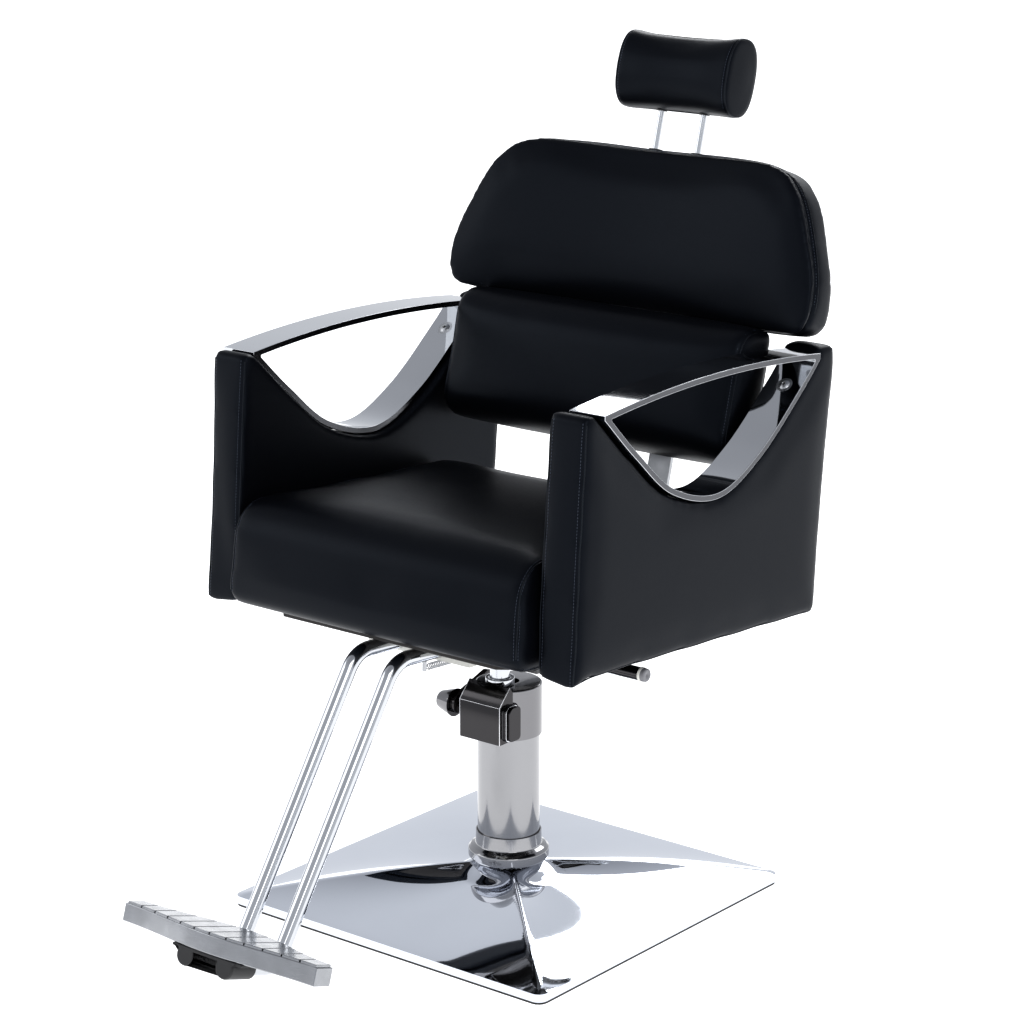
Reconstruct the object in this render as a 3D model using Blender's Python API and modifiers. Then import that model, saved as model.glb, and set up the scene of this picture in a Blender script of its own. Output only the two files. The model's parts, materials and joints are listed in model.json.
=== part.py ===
"""Hydraulic barber chair: turning pump in a square base, lifting seat, reclining back,
sliding footrest and headrest.

Metres, +Z up.  The origin is on the floor, on the axis of the pump column.  The sitter
faces -Y, and +X is the sitter's left.
"""
from math import atan2, cos, degrees, pi, radians, sin, tan

import bmesh
import bpy
from mathutils import Vector

# ---------------------------------------------------------------- driving dimensions
GAP = 0.0003                      # play left between touching pieces

# base
BASE_HALF = 0.275                 # half the side of the square base
BASE_CORNER = 0.014               # radius of the base's corners
RIM_HEIGHT = 0.0145               # upright rim of the base
CROWN_HEIGHT = 0.052              # height of the base skin at its centre
SKIN = 0.003                      # thickness of the base skin
GASKET = 0.003                    # rubber gasket under the rim
SOCKET_R = 0.0345                 # socket that the pump turns in
SOCKET_BORE = 0.0304

# pump
COLUMN_R = 0.0437                 # chromed column tube
COLUMN_WALL = 0.002
COLUMN_FOOT = 0.0643
HEAD_R = 0.0470                   # rounded head round the top of the column
HEAD_BOTTOM = 0.2435
HEAD_TOP = 0.3165
BOX_HALF = 0.0355                 # valve box on the front of the head
BOX_FRONT = -0.0640
BOX_BOTTOM = 0.2450
BOX_TOP_FRONT = 0.2995
BOX_TOP_REAR = 0.3240
RAM_R = 0.0139
RAM_Y = -0.019                    # the ram stands in front of the column's axis
RAM_TOP = 0.3893
LIFT = 0.150                      # stroke of the ram
PEDAL_AXIS = (0.0155, 0.3000)     # Y and Z of the pedal's cross shaft
KNOB_AT = (-0.0450, 0.2840)       # Y and Z of the knob's axis
ROCKER_X = -0.0542
PLUNGER_AT = (-0.0160, -0.0545)   # X and Y of the plunger's bore

# seat: its board, rails and cushion are tilted back together
SEAT_TILT = radians(3.55)
SEAT_HEIGHT = 0.430               # underside of the cushion above the origin
SEAT_HALF = 0.2570                # half the width between the side panels
CUSHION_FRONT = -0.298
CUSHION_REAR = 0.165
CUSHION_THICK = 0.148
BOARD_THICK = 0.0105
RAIL_X = 0.100                    # side rails, centre line
RAIL_SIZE = 0.0230
PANEL_INNER = 0.2580              # side panels
PANEL_OUTER = 0.3220
RING_INNER = 0.2700               # arm rings
RING_OUTER = 0.3260
RING_BAND = 0.0080

# back: a frame that turns on the recline pivot
PIVOT_Y = 0.190
PIVOT_Z = 0.430
BACK_TILT = radians(15.0)
PIVOT_R = 0.0080
BAR_X = 0.085                     # flat back bars, centre line
BAR_WIDTH = 0.038
BAR_THICK = 0.006
BACK_HALF = 0.308                 # half the width of the upper back
BACK_BOW = 0.030                  # how far the middle of the upper back stands behind its sides
LUMBAR_HALF = 0.2525
CRANK_ARM = 0.075                 # pivot to crank pin
CRANK_LEAN = radians(17.5)        # the crank swings evenly each side of upright
LEVER_X = 0.135                   # hinge of the recline lever
LEVER_AT = (-0.092, 0.4105)       # its Y and Z in the world

# headrest
POST_X = 0.037
POST_Y = 0.034                    # in the back's frame
POST_R = 0.0043

# footrest
TUBE_X = 0.034
TUBE_R = 0.0105
TUBE_RUN = -0.026                 # height of the tubes' top run in the seat's frame
PLATE_TILT = radians(18.0)
PLATE_AT = (-0.555, 0.124)        # Y and Z of the footplate's top, on its reference line
PLATE_THICK = 0.027
PLATE_HALF = 0.168
CROSS_Y = -0.069                  # cross tube at the rear of the footrest, in the seat's frame
SPRING_FRONT = -0.2170            # the return spring's two ends
SPRING_REAR = -0.1425

# linkage between the back and the footrest
LINK_X = -0.060
LUG_X = -0.070
STRUT_X = 0.072
PIN_PLAY = 0.0018                 # the crank pins rise and fall by twice this in their eyes

# ---------------------------------------------------------------- scene and materials
for old in list(bpy.data.objects):
    bpy.data.objects.remove(old, do_unlink=True)

PARTS = bpy.data.collections.new("barber_chair")
CUTTERS = bpy.data.collections.new("cutters")
for group in (PARTS, CUTTERS):
    bpy.context.scene.collection.children.link(group)


def material(name, colour, roughness, metallic):
    """A Principled material of one colour."""
    made = bpy.data.materials.new(name)
    made.use_nodes = True
    shader = made.node_tree.nodes["Principled BSDF"]
    shader.inputs["Base Color"].default_value = (*colour, 1.0)
    shader.inputs["Roughness"].default_value = roughness
    shader.inputs["Metallic"].default_value = metallic
    return made


CHROME = ((0.80, 0.81, 0.83), 0.08, 1.0)
STEEL = ((0.45, 0.46, 0.48), 0.35, 1.0)
DARK_STEEL = ((0.06, 0.06, 0.07), 0.30, 0.8)
ALUMINIUM = ((0.62, 0.63, 0.65), 0.28, 1.0)
LEATHER = ((0.012, 0.013, 0.018), 0.42, 0.0)
PLYWOOD = ((0.016, 0.014, 0.013), 0.65, 0.0)
RUBBER = ((0.02, 0.02, 0.02), 0.80, 0.0)
PLASTIC = ((0.03, 0.03, 0.035), 0.45, 0.0)
NYLON = ((0.75, 0.74, 0.70), 0.55, 0.0)


# ---------------------------------------------------------------- modelling helpers
def move_to(thing, group):
    for used in list(thing.users_collection):
        used.objects.unlink(thing)
    group.objects.link(thing)


def finish(thing, name, look, parent=None):
    """Name a piece, give it its own material, and hang it and its cutters on its parent."""
    thing.name = name
    move_to(thing, PARTS)
    thing.data.materials.clear()
    thing.data.materials.append(material(name + "_finish", *look))
    if parent is not None:
        hang(thing, parent)
    if thing.type == "MESH":
        thing.data.shade_smooth()
        thing.data.set_sharp_from_angle(angle=radians(35))
    return thing


def hang(thing, parent):
    """Hang a piece, and every tool that shapes it, on a parent."""
    thing.parent = parent
    for change in thing.modifiers:
        if change.type == "BOOLEAN":
            hang(change.object, parent)


def as_cutter(thing):
    """Hide a tool body from the build."""
    move_to(thing, CUTTERS)
    thing.hide_render = True
    thing.display_type = "WIRE"
    return thing


def empty(name, location, rotation=(0, 0, 0)):
    made = bpy.data.objects.new(name, None)
    made.location = location
    made.rotation_euler = rotation
    PARTS.objects.link(made)
    return made


def box(low, high, bevel=0.0):
    """A block between two corners, its edges rounded where bevel is given."""
    bpy.ops.mesh.primitive_cube_add(size=1)
    made = bpy.context.object
    middle = [(a + b) / 2 for a, b in zip(low, high)]
    size = [b - a for a, b in zip(low, high)]
    for point in made.data.vertices:
        point.co = Vector(c * s for c, s in zip(point.co, size))
    made.location = middle
    if bevel:
        rounded = made.modifiers.new("rounded", "BEVEL")
        rounded.width = bevel
        rounded.segments = 2
    return made


def rod(start, end, radius, sides=20, end_radius=None):
    """A straight round bar between two points, or a tapered one."""
    start, end = Vector(start), Vector(end)
    along = end - start
    far = radius if end_radius is None else end_radius
    bpy.ops.mesh.primitive_cone_add(vertices=sides, radius1=radius, radius2=far,
                                    depth=along.length, location=(start + end) / 2)
    made = bpy.context.object
    made.rotation_mode = "QUATERNION"
    made.rotation_quaternion = along.to_track_quat("Z", "Y")
    return made


def turned(profile, location=(0, 0, 0), sides=32):
    """A turned piece from (radius, height) points that run down its outer side.

    A profile that starts on the axis ends there too, and any other is closed.
    """
    mesh = bpy.data.meshes.new("profile")
    count = len(profile)
    links = [(i, i + 1) for i in range(count - 1)]
    if profile[0][0] > 0:
        links.append((count - 1, 0))
    mesh.from_pydata([(r, 0, z) for r, z in profile], links, [])
    made = bpy.data.objects.new("turned", mesh)
    made.location = location
    PARTS.objects.link(made)
    screw = made.modifiers.new("turn", "SCREW")
    screw.steps = sides
    screw.render_steps = sides
    screw.use_merge_vertices = True
    screw.merge_threshold = 0.00001
    return made


def ring(inner, outer, bottom, top):
    """The profile of a plain tube."""
    return [(outer, top), (outer, bottom), (inner, bottom), (inner, top)]


def wire(points, radius, resolution=3):
    """A round tube or wire along a list of points."""
    curve = bpy.data.curves.new("wire", "CURVE")
    curve.dimensions = "3D"
    curve.bevel_depth = radius
    curve.bevel_resolution = resolution
    curve.use_fill_caps = True
    line = curve.splines.new("POLY")
    line.points.add(len(points) - 1)
    for knot, place in zip(line.points, points):
        knot.co = (*place, 1)
    made = bpy.data.objects.new("wire", curve)
    PARTS.objects.link(made)
    return made


def flat(outlines, thickness, plane="YZ", at=0.0):
    """A flat piece cut to closed outlines, centred on `at` along the third axis.

    The first outline is the edge, and any others are holes in it.
    """
    curve = bpy.data.curves.new("flat", "CURVE")
    curve.dimensions = "2D"
    curve.fill_mode = "BOTH"
    curve.extrude = thickness / 2
    for outline in outlines:
        line = curve.splines.new("POLY")
        line.points.add(len(outline) - 1)
        for knot, (u, v) in zip(line.points, outline):
            knot.co = (u, v, 0, 1)
        line.use_cyclic_u = True
    made = bpy.data.objects.new("flat", curve)
    if plane == "YZ":
        made.rotation_euler = (pi / 2, 0, pi / 2)
        made.location = (at, 0, 0)
    elif plane == "XZ":
        made.rotation_euler = (pi / 2, 0, 0)
        made.location = (0, at, 0)
    else:
        made.location = (0, 0, at)
    PARTS.objects.link(made)
    return made


def solid(thing, weld=0.00002):
    """The evaluated shape of an object as a plain welded mesh, in its place."""
    bpy.context.view_layer.update()
    graph = bpy.context.evaluated_depsgraph_get()
    mesh = bpy.data.meshes.new_from_object(thing.evaluated_get(graph))
    work = bmesh.new()
    work.from_mesh(mesh)
    bmesh.ops.remove_doubles(work, verts=work.verts, dist=weld)
    work.to_mesh(mesh)
    work.free()
    made = bpy.data.objects.new(thing.name, mesh)
    made.matrix_world = thing.matrix_world.copy()
    for used in thing.users_collection:
        used.objects.link(made)
    bpy.data.objects.remove(thing, do_unlink=True)
    return made


def combine(body, tool, how="DIFFERENCE"):
    """Cut a body with a tool, or join the two."""
    change = body.modifiers.new(how.lower(), "BOOLEAN")
    change.operation = how
    change.solver = "EXACT"
    change.object = as_cutter(tool)
    return body


def weld(body, *others):
    """Join pieces that run into each other into one."""
    for other in others:
        combine(body, other, "UNION")
    return body


def arc(centre, radius, start, end, steps):
    """Points along a circular arc, angles in degrees."""
    turns = [radians(start + (end - start) * i / steps) for i in range(steps + 1)]
    return [(centre[0] + radius * cos(a), centre[1] + radius * sin(a)) for a in turns]


def smooth(points, steps):
    """A smooth open curve through points of any dimension."""
    knots = [Vector(p) for p in points]
    knots = [2 * knots[0] - knots[1], *knots, 2 * knots[-1] - knots[-2]]
    line = []
    for a, b, c, d in zip(knots, knots[1:], knots[2:], knots[3:]):
        for i in range(steps):
            t = i / steps
            line.append(0.5 * (2 * b + (c - a) * t + (2 * a - 5 * b + 4 * c - d) * t * t
                               + (3 * b - a - 3 * c + d) * t ** 3))
    line.append(knots[-2])
    return [tuple(p) for p in line]


def fillet(corner, before, after, radius, steps=5):
    """The arc that rounds a corner of a path between two neighbours."""
    corner, before, after = Vector(corner), Vector(before), Vector(after)
    back, on = (before - corner).normalized(), (after - corner).normalized()
    half = back.angle(on) / 2
    centre = corner + (back + on).normalized() * (radius / sin(half))
    first, last = corner + back * radius / tan(half), corner + on * radius / tan(half)
    arms = [(first - centre).slerp(last - centre, i / steps) for i in range(steps + 1)]
    return [tuple(centre + arm.normalized() * radius) for arm in arms]


def mirrored(outline):
    """Close an outline that is given for +X only, from its top down."""
    return outline + [(-x, z) for x, z in reversed(outline) if x > 0]


def sides():
    """The sitter's left (+X) and right (-X), as a name and a sign."""
    return (("left", 1), ("right", -1))


# ---------------------------------------------------------------- base
def base_skin_height(x, y):
    """Height of the base skin: four raised ridges, hollow faces and a flared centre."""
    far = max(abs(x), abs(y)) / BASE_HALF
    skew = min(abs(x), abs(y)) / max(abs(x), abs(y), 1e-9)
    rise = CROWN_HEIGHT - RIM_HEIGHT
    ridge = RIM_HEIGHT + rise * (1 - far ** 1.8)
    face = RIM_HEIGHT + 0.70 * rise * max(0.0, 1 - far) ** 0.9
    blend = skew ** 2.5
    height = face + (ridge - face) * blend
    radius = (x * x + y * y) ** 0.5
    flare = min(1.0, max(0.0, (radius - SOCKET_R) / 0.040))
    flare = flare * flare * (3 - 2 * flare)
    return CROWN_HEIGHT + (height - CROWN_HEIGHT) * flare


def build_base():
    bpy.ops.mesh.primitive_grid_add(x_subdivisions=22, y_subdivisions=22, size=2 * BASE_HALF)
    plate = bpy.context.object
    work = bmesh.new()
    work.from_mesh(plate.data)
    for point in work.verts:
        x, y = point.co.x, point.co.y
        point.co.z = base_skin_height(x, y)
        inner = BASE_HALF - BASE_CORNER
        if abs(x) > inner and abs(y) > inner:
            corner = Vector((inner if x > 0 else -inner, inner if y > 0 else -inner))
            out = (Vector((x, y)) - corner).normalized() * BASE_CORNER
            point.co.x, point.co.y = corner.x + out.x, corner.y + out.y
    rim = [e for e in work.edges if e.is_boundary]
    low = bmesh.ops.extrude_edge_only(work, edges=rim)
    for point in (v for v in low["geom"] if isinstance(v, bmesh.types.BMVert)):
        point.co.z = GASKET + GAP
    bmesh.ops.recalc_face_normals(work, faces=work.faces)
    if sum(f.normal.z for f in work.faces) < 0:
        bmesh.ops.reverse_faces(work, faces=work.faces)
    work.to_mesh(plate.data)
    work.free()
    shell = plate.modifiers.new("skin", "SOLIDIFY")
    shell.thickness = SKIN
    shell.offset = -1
    combine(plate, rod((0, 0, 0), (0, 0, 0.08), SOCKET_R + 0.0006, 32))
    finish(plate, "base_plate", CHROME)

    edge = BASE_HALF - 0.0005
    rings = [square(edge, BASE_CORNER), square(edge - 0.014, BASE_CORNER)]
    gasket = solid(flat(rings, GASKET, "XY", GASKET / 2))
    finish(gasket, "floor_gasket", RUBBER)

    foot = 0.120
    socket = turned([(0, 0.0040), (SOCKET_BORE, 0.0040), (SOCKET_BORE, 0.0555), (SOCKET_R, 0.0555),
                     (SOCKET_R, 0.0060), (foot, 0.0060), (foot, 0), (0, 0)])
    finish(socket, "pump_socket", STEEL)

    neck = CROWN_HEIGHT + 0.0015
    collar = turned([(0.0460, 0.0980), (0.0466, 0.0785), (0.0530, 0.0755), (0.0570, 0.0720),
                     (0.0570, 0.0610), (0.0540, 0.0580), (0.0420, 0.0555), (0.0375, neck),
                     (SOCKET_R + GAP, neck), (SOCKET_R + GAP, 0.0562),
                     (COLUMN_R + 0.0006, 0.0573), (COLUMN_R + 0.0006, 0.0980)], sides=40)
    finish(collar, "base_collar", CHROME)

    washer = turned(ring(SOCKET_BORE + 0.0002, SOCKET_R - 0.0002, 0.0558, 0.0575))
    finish(washer, "thrust_washer", NYLON)


def square(half, corner):
    """The outline of a square with rounded corners."""
    inner = half - corner
    points = []
    for i, (cx, cy) in enumerate(((inner, inner), (-inner, inner), (-inner, -inner), (inner, -inner))):
        points += arc((cx, cy), corner, 90 * i, 90 * i + 90, 4)
    return points


# ---------------------------------------------------------------- pump
def build_pump():
    spigot = turned([(0, COLUMN_FOOT - GAP), (COLUMN_R, COLUMN_FOOT - GAP), (COLUMN_R, 0.0578),
                     (SOCKET_BORE - GAP, 0.0578), (SOCKET_BORE - GAP, 0.0120), (0, 0.0120)])
    finish(spigot, "pump_spigot", STEEL)
    column = turned(ring(COLUMN_R - COLUMN_WALL, COLUMN_R, COLUMN_FOOT, HEAD_BOTTOM + 0.030))
    finish(column, "column_tube", CHROME)
    cylinder = turned([(0, 0.0720), (0.0165, 0.0720), (0.0165, HEAD_TOP - 0.0045),
                       (0.0200, HEAD_TOP - 0.0045), (0.0200, COLUMN_FOOT), (0, COLUMN_FOOT)],
                      location=(0, RAM_Y, 0), sides=24)
    finish(cylinder, "pump_cylinder", STEEL)

    head = turned([(0, HEAD_TOP), (HEAD_R - 0.003, HEAD_TOP), (HEAD_R, HEAD_TOP - 0.003),
                   (HEAD_R, HEAD_BOTTOM), (COLUMN_R + GAP, HEAD_BOTTOM),
                   (COLUMN_R + GAP, HEAD_TOP - 0.004), (0, HEAD_TOP - 0.004)], sides=32)
    combine(head, rod((0, RAM_Y, 0.30), (0, RAM_Y, 0.34), RAM_R + 0.0008, 24))
    finish(head, "pump_head", DARK_STEEL)

    wiper = turned([(0.0190, HEAD_TOP + 0.0110), (0.0205, HEAD_TOP + 0.0095),
                    (0.0205, HEAD_TOP + GAP), (RAM_R + 0.0004, HEAD_TOP + GAP),
                    (RAM_R + 0.0004, HEAD_TOP + 0.0110)], location=(0, RAM_Y, 0), sides=24)
    finish(wiper, "wiper_ring", CHROME)

    rear = BOX_FRONT + 0.030
    block = [(BOX_FRONT, BOX_BOTTOM), (rear, BOX_BOTTOM), (rear, HEAD_TOP + 0.0005),
             (-0.0415, BOX_TOP_REAR), (BOX_FRONT, BOX_TOP_FRONT)]
    valve_box = solid(flat([block], 2 * BOX_HALF))
    combine(valve_box, head_clearance())
    combine(valve_box, rod((0, RAM_Y, 0.30), (0, RAM_Y, 0.34), 0.0210, 24))
    bore = rod((*PLUNGER_AT, 0.20), (*PLUNGER_AT, 0.2900), 0.0063, 16)
    combine(valve_box, bore)
    edge = [(-0.0550, 0.2475), (-0.0290, 0.2475), *arc((-0.0370, 0.2905), 0.0080, 0, 90, 3),
            (-0.0480, 0.2985), (-0.0550, 0.2925)]
    side_cap = solid(flat([edge], 0.0120, at=BOX_HALF + 0.0040))
    combine(side_cap, head_clearance())
    weld(valve_box, side_cap)
    finish(valve_box, "valve_box", DARK_STEEL)

    plunger = rod((*PLUNGER_AT, 0.2455), (*PLUNGER_AT, 0.2700), 0.0060, 16)
    finish(plunger, "pump_plunger", STEEL)


def head_clearance():
    """The space that the pump's head takes out of what is fixed to it."""
    return rod((0, 0, 0.20), (0, 0, HEAD_TOP + GAP), HEAD_R + GAP, 48)


def build_pedal():
    y, z = PEDAL_AXIS
    hinge = empty("pedal_hinge", (0, y, z))
    knob_y, knob_z = KNOB_AT[0] - y, KNOB_AT[1] - z
    turn = degrees(atan2(knob_z, knob_y))
    outline = (arc((0, 0), 0.0180, turn + 98, turn + 262, 8) +
               arc((knob_y, knob_z), 0.0140, turn - 82, turn + 82, 6))
    rocker = solid(flat([outline], 0.0080, at=ROCKER_X))
    weld(rocker, rod((-0.0470, 0, 0), (-0.0620, 0, 0), 0.0090, 20))
    finish(rocker, "pedal_rocker", DARK_STEEL, hinge)

    knob = turned([(0, 0.0290), (0.0060, 0.0284), (0.0105, 0.0262), (0.0128, 0.0230),
                   (0.0195, 0.0030), (0.0200, 0.0), (0, 0)], sides=24)
    knob.rotation_euler = (0, -pi / 2, 0)
    knob.location = (ROCKER_X - 0.0040 - GAP, knob_y, knob_z)
    finish(knob, "pedal_knob", DARK_STEEL, hinge)

    away = Vector((-0.6276, 0.7785, 0))
    end = Vector((-0.176, 0.206, 0.130)) - hinge.location
    route = [(ROCKER_X, 0.0196, -0.001), (-0.0575, 0.0345, -0.008), (-0.075, 0.0645, -0.038),
             (-0.112, 0.1145, -0.105), (-0.150, 0.1605, -0.154), tuple(end), tuple(end + away * 0.012)]
    finish(wire(smooth(route, 4), 0.0060, 2), "pedal_arm", CHROME, hinge)

    tread = box((-0.034, -0.026, -0.011), (0.034, 0.026, 0.011), 0.005)
    tread.location = end + away * (0.015 + 0.026)
    tread.rotation_euler = (0, 0, atan2(-away.x, away.y))
    finish(tread, "pedal_tread", RUBBER, hinge)


# ---------------------------------------------------------------- lift and seat
def build_lift():
    ram = turned([(0, RAM_TOP), (RAM_R, RAM_TOP), (RAM_R, 0.1010), (0.0161, 0.1000),
                  (0.0161, 0.0880), (0, 0.0870)], location=(0, RAM_Y, 0), sides=24)
    finish(ram, "ram", CHROME)
    hub = turned([(0.0240, 0.3895), (0.0270, 0.3700), (0.0270, 0.3560), (RAM_R + GAP, 0.3560),
                  (RAM_R + GAP, 0.3895)], location=(0, RAM_Y, 0), sides=24)
    finish(hub, "seat_hub", STEEL)


def build_seat():
    seat = empty("seat_frame", (0, 0, SEAT_HEIGHT), (-SEAT_TILT, 0, 0))
    under = -BOARD_THICK - GAP
    half, front, nip = SEAT_HALF - 0.042, -0.256, 0.030
    board = solid(flat([[(-half, CUSHION_REAR), (-half, front + nip), (-half + nip, front), (half - nip, front),
                         (half, front + nip), (half, CUSHION_REAR)]], BOARD_THICK, "XY", -GAP - BOARD_THICK / 2))
    finish(board, "seat_board", PLYWOOD, seat)
    cushion = box((-SEAT_HALF + 0.0005, CUSHION_FRONT, 0), (SEAT_HALF - 0.0005, CUSHION_REAR, CUSHION_THICK), 0.030)
    finish(cushion, "seat_cushion", LEATHER, seat)

    rail_top, rail_low = under - GAP, under - GAP - RAIL_SIZE
    half = RAIL_SIZE / 2
    inner = RAIL_X - half - GAP
    rails = [box((side * RAIL_X - half, -0.190, rail_low), (side * RAIL_X + half, 0.212, rail_top), 0.002)
             for _, side in sides()]
    crosses = [box((-RAIL_X, start, rail_low + GAP), (RAIL_X, start + 0.020, rail_top - GAP))
               for start in (-0.0400, 0.1000)]
    plate = box((-0.105, -0.0500, rail_low - 0.0053), (0.105, 0.130, rail_low + 0.003))

    pivot = to_seat(PIVOT_Y, PIVOT_Z)
    lugs = []
    for _, side in sides():
        outline = [(pivot[0] - 0.016, rail_top - 0.004), (pivot[0] + 0.016, rail_top - 0.004),
                   *arc(pivot, 0.016, 0, 180, 8)]
        bore = arc(pivot, PIVOT_R + GAP, 0, 337.5, 15)
        lugs.append(solid(flat([outline, bore], 0.0050, at=side * 0.1075)))

    y, z = to_seat(*LEVER_AT)
    bracket = box((RAIL_X + half - 0.002, y - 0.016, z - 0.013), (0.150, y + 0.016, rail_top - GAP))
    _, pin_z = to_seat(*crank_pin())
    clamp = box((STRUT_X - 0.017, -0.045, pin_z - 0.0165), (STRUT_X + 0.017, -0.025, rail_low))
    frame = weld(rails[0], rails[1], *crosses, plate, *lugs, bracket, clamp)
    combine(frame, box((0.118, y - 0.011, z - 0.020), (0.170, y + 0.011, z + 0.012)))
    combine(frame, rod((LEVER_X, y - 0.03, z), (LEVER_X, y + 0.03, z), 0.0031, 16))
    combine(frame, rod((STRUT_X, -0.07, pin_z), (STRUT_X, 0, pin_z), 0.0143, 24))
    finish(frame, "seat_subframe", DARK_STEEL, seat)

    for name, start in (("front", -0.190), ("rear", -0.150)):
        block = box((-inner, start, -0.0400), (inner, start + 0.015, under - GAP))
        for side in (-1, 1):
            x = side * TUBE_X
            combine(block, rod((x, start - 0.01, TUBE_RUN), (x, start + 0.03, TUBE_RUN), TUBE_R + GAP, 24))
        finish(block, "tube_guide_" + name, NYLON, seat)

    pin = rod((-0.116, *pivot), (0.116, *pivot), PIVOT_R, 20)
    finish(pin, "recline_pivot", STEEL, seat)
    return seat


def to_seat(y, z):
    """A world point's Y and Z in the tilted frame of the seat."""
    up = z - SEAT_HEIGHT
    return (y * cos(SEAT_TILT) - up * sin(SEAT_TILT), y * sin(SEAT_TILT) + up * cos(SEAT_TILT))


def to_back(y, z):
    """A world point's Y and Z in the tilted frame of the back."""
    back, up = y - PIVOT_Y, z - PIVOT_Z
    return (back * cos(BACK_TILT) - up * sin(BACK_TILT), back * sin(BACK_TILT) + up * cos(BACK_TILT))


# ---------------------------------------------------------------- arms
RING_DIP = [(-0.2140, 0.7760), (-0.1480, 0.7140), (-0.0680, 0.6515), (0.0360, 0.6260),
            (0.1325, 0.6640), (0.2265, 0.7350), (0.2680, 0.7720)]


def ring_top(y):
    """Height of the arm ring's gently crowned top bar."""
    return 0.7955 - 0.245 * (y - 0.020) ** 2


def shifted(points, amount):
    """A curve moved sideways, to the left of the way that it runs."""
    moved = []
    for i, here in enumerate(points):
        before, after = points[max(i - 1, 0)], points[min(i + 1, len(points) - 1)]
        along = Vector((after[0] - before[0], after[1] - before[1])).normalized()
        moved.append((here[0] - along.y * amount, here[1] + along.x * amount))
    return moved


def build_arms():
    dip = smooth(RING_DIP, 4)
    tops = [dip[-1][0] + (dip[0][0] - dip[-1][0]) * i / 10 for i in range(11)]
    outer = dip + [(y, ring_top(y)) for y in tops]
    floor = [p for p in shifted(dip, RING_BAND) if p[1] < ring_top(p[0]) - RING_BAND - 0.002]
    span = [floor[-1][0] + (floor[0][0] - floor[-1][0]) * i / 10 for i in range(11)]
    hole = floor + [(y, ring_top(y) - RING_BAND) for y in span]
    panel = [(-0.2710, 0.4410), (0.2830, 0.4060), (0.3175, 0.7640), *arc((0.3050, 0.7745), 0.0130, 5, 90, 4),
             (0.2760, 0.7875), *reversed(shifted(dip, -0.0008)), (-0.2220, 0.7840),
             *arc((-0.2340, 0.7760), 0.0080, 60, 175, 3)]
    width = RING_OUTER - RING_INNER
    for name, side in sides():
        loop = solid(flat([outer, hole], width, at=side * (RING_OUTER + RING_INNER) / 2))
        finish(loop, "arm_ring_" + name, CHROME)
        board = solid(flat([panel], PANEL_OUTER - PANEL_INNER, at=side * (PANEL_OUTER + PANEL_INNER) / 2))
        finish(board, "arm_panel_" + name, LEATHER)
        spot = len(dip) - 5
        foot = shifted(dip, RING_BAND + 3 * GAP)[spot]
        along = Vector((0, dip[spot + 1][0] - dip[spot - 1][0], dip[spot + 1][1] - dip[spot - 1][1]))
        head = Vector((side * 0.299, *foot))
        out = Vector((0, -along.z, along.y)).normalized()
        screw = rod(head, head + out * 0.0035, 0.0080, 16, 0.0050)
        finish(screw, f"ring_screw_{name}", STEEL)


# ---------------------------------------------------------------- back
def bow(x):
    """How far the upper back's surface stands behind its sides at x."""
    return BACK_BOW * (1 - (x / BACK_HALF) ** 2)


def back_outline(inset=0.0):
    """Edge of the upper back, as its width at each height."""
    right = [(0.0, 0.604), (0.100, 0.606), (0.180, 0.605), (0.225, 0.594), (0.252, 0.571),
             (0.270, 0.543), (0.288, 0.500), (0.302, 0.463), (0.3080, 0.430), (0.3070, 0.404),
             (0.298, 0.385), (0.275, 0.377), (0.0, 0.377)]
    centre = 0.49
    return mirrored([(max(x - inset, 0.0), z + (inset if z < centre else -inset)) for x, z in right])


def curved_slab(front, rear, inset=0.0):
    """A piece of the bowed upper back between two depths behind the front seam's plane."""
    across = [BACK_HALF * 1.02 * (i / 8 - 1) for i in range(17)]
    band = [(x, bow(x) + front) for x in across] + [(x, bow(x) + rear) for x in reversed(across)]
    sheet = solid(flat([band], 0.30, "XY", 0.49))
    edge = solid(flat([back_outline(inset)], 0.30, "XZ", 0.0))
    return combine(sheet, edge, "INTERSECT")


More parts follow.
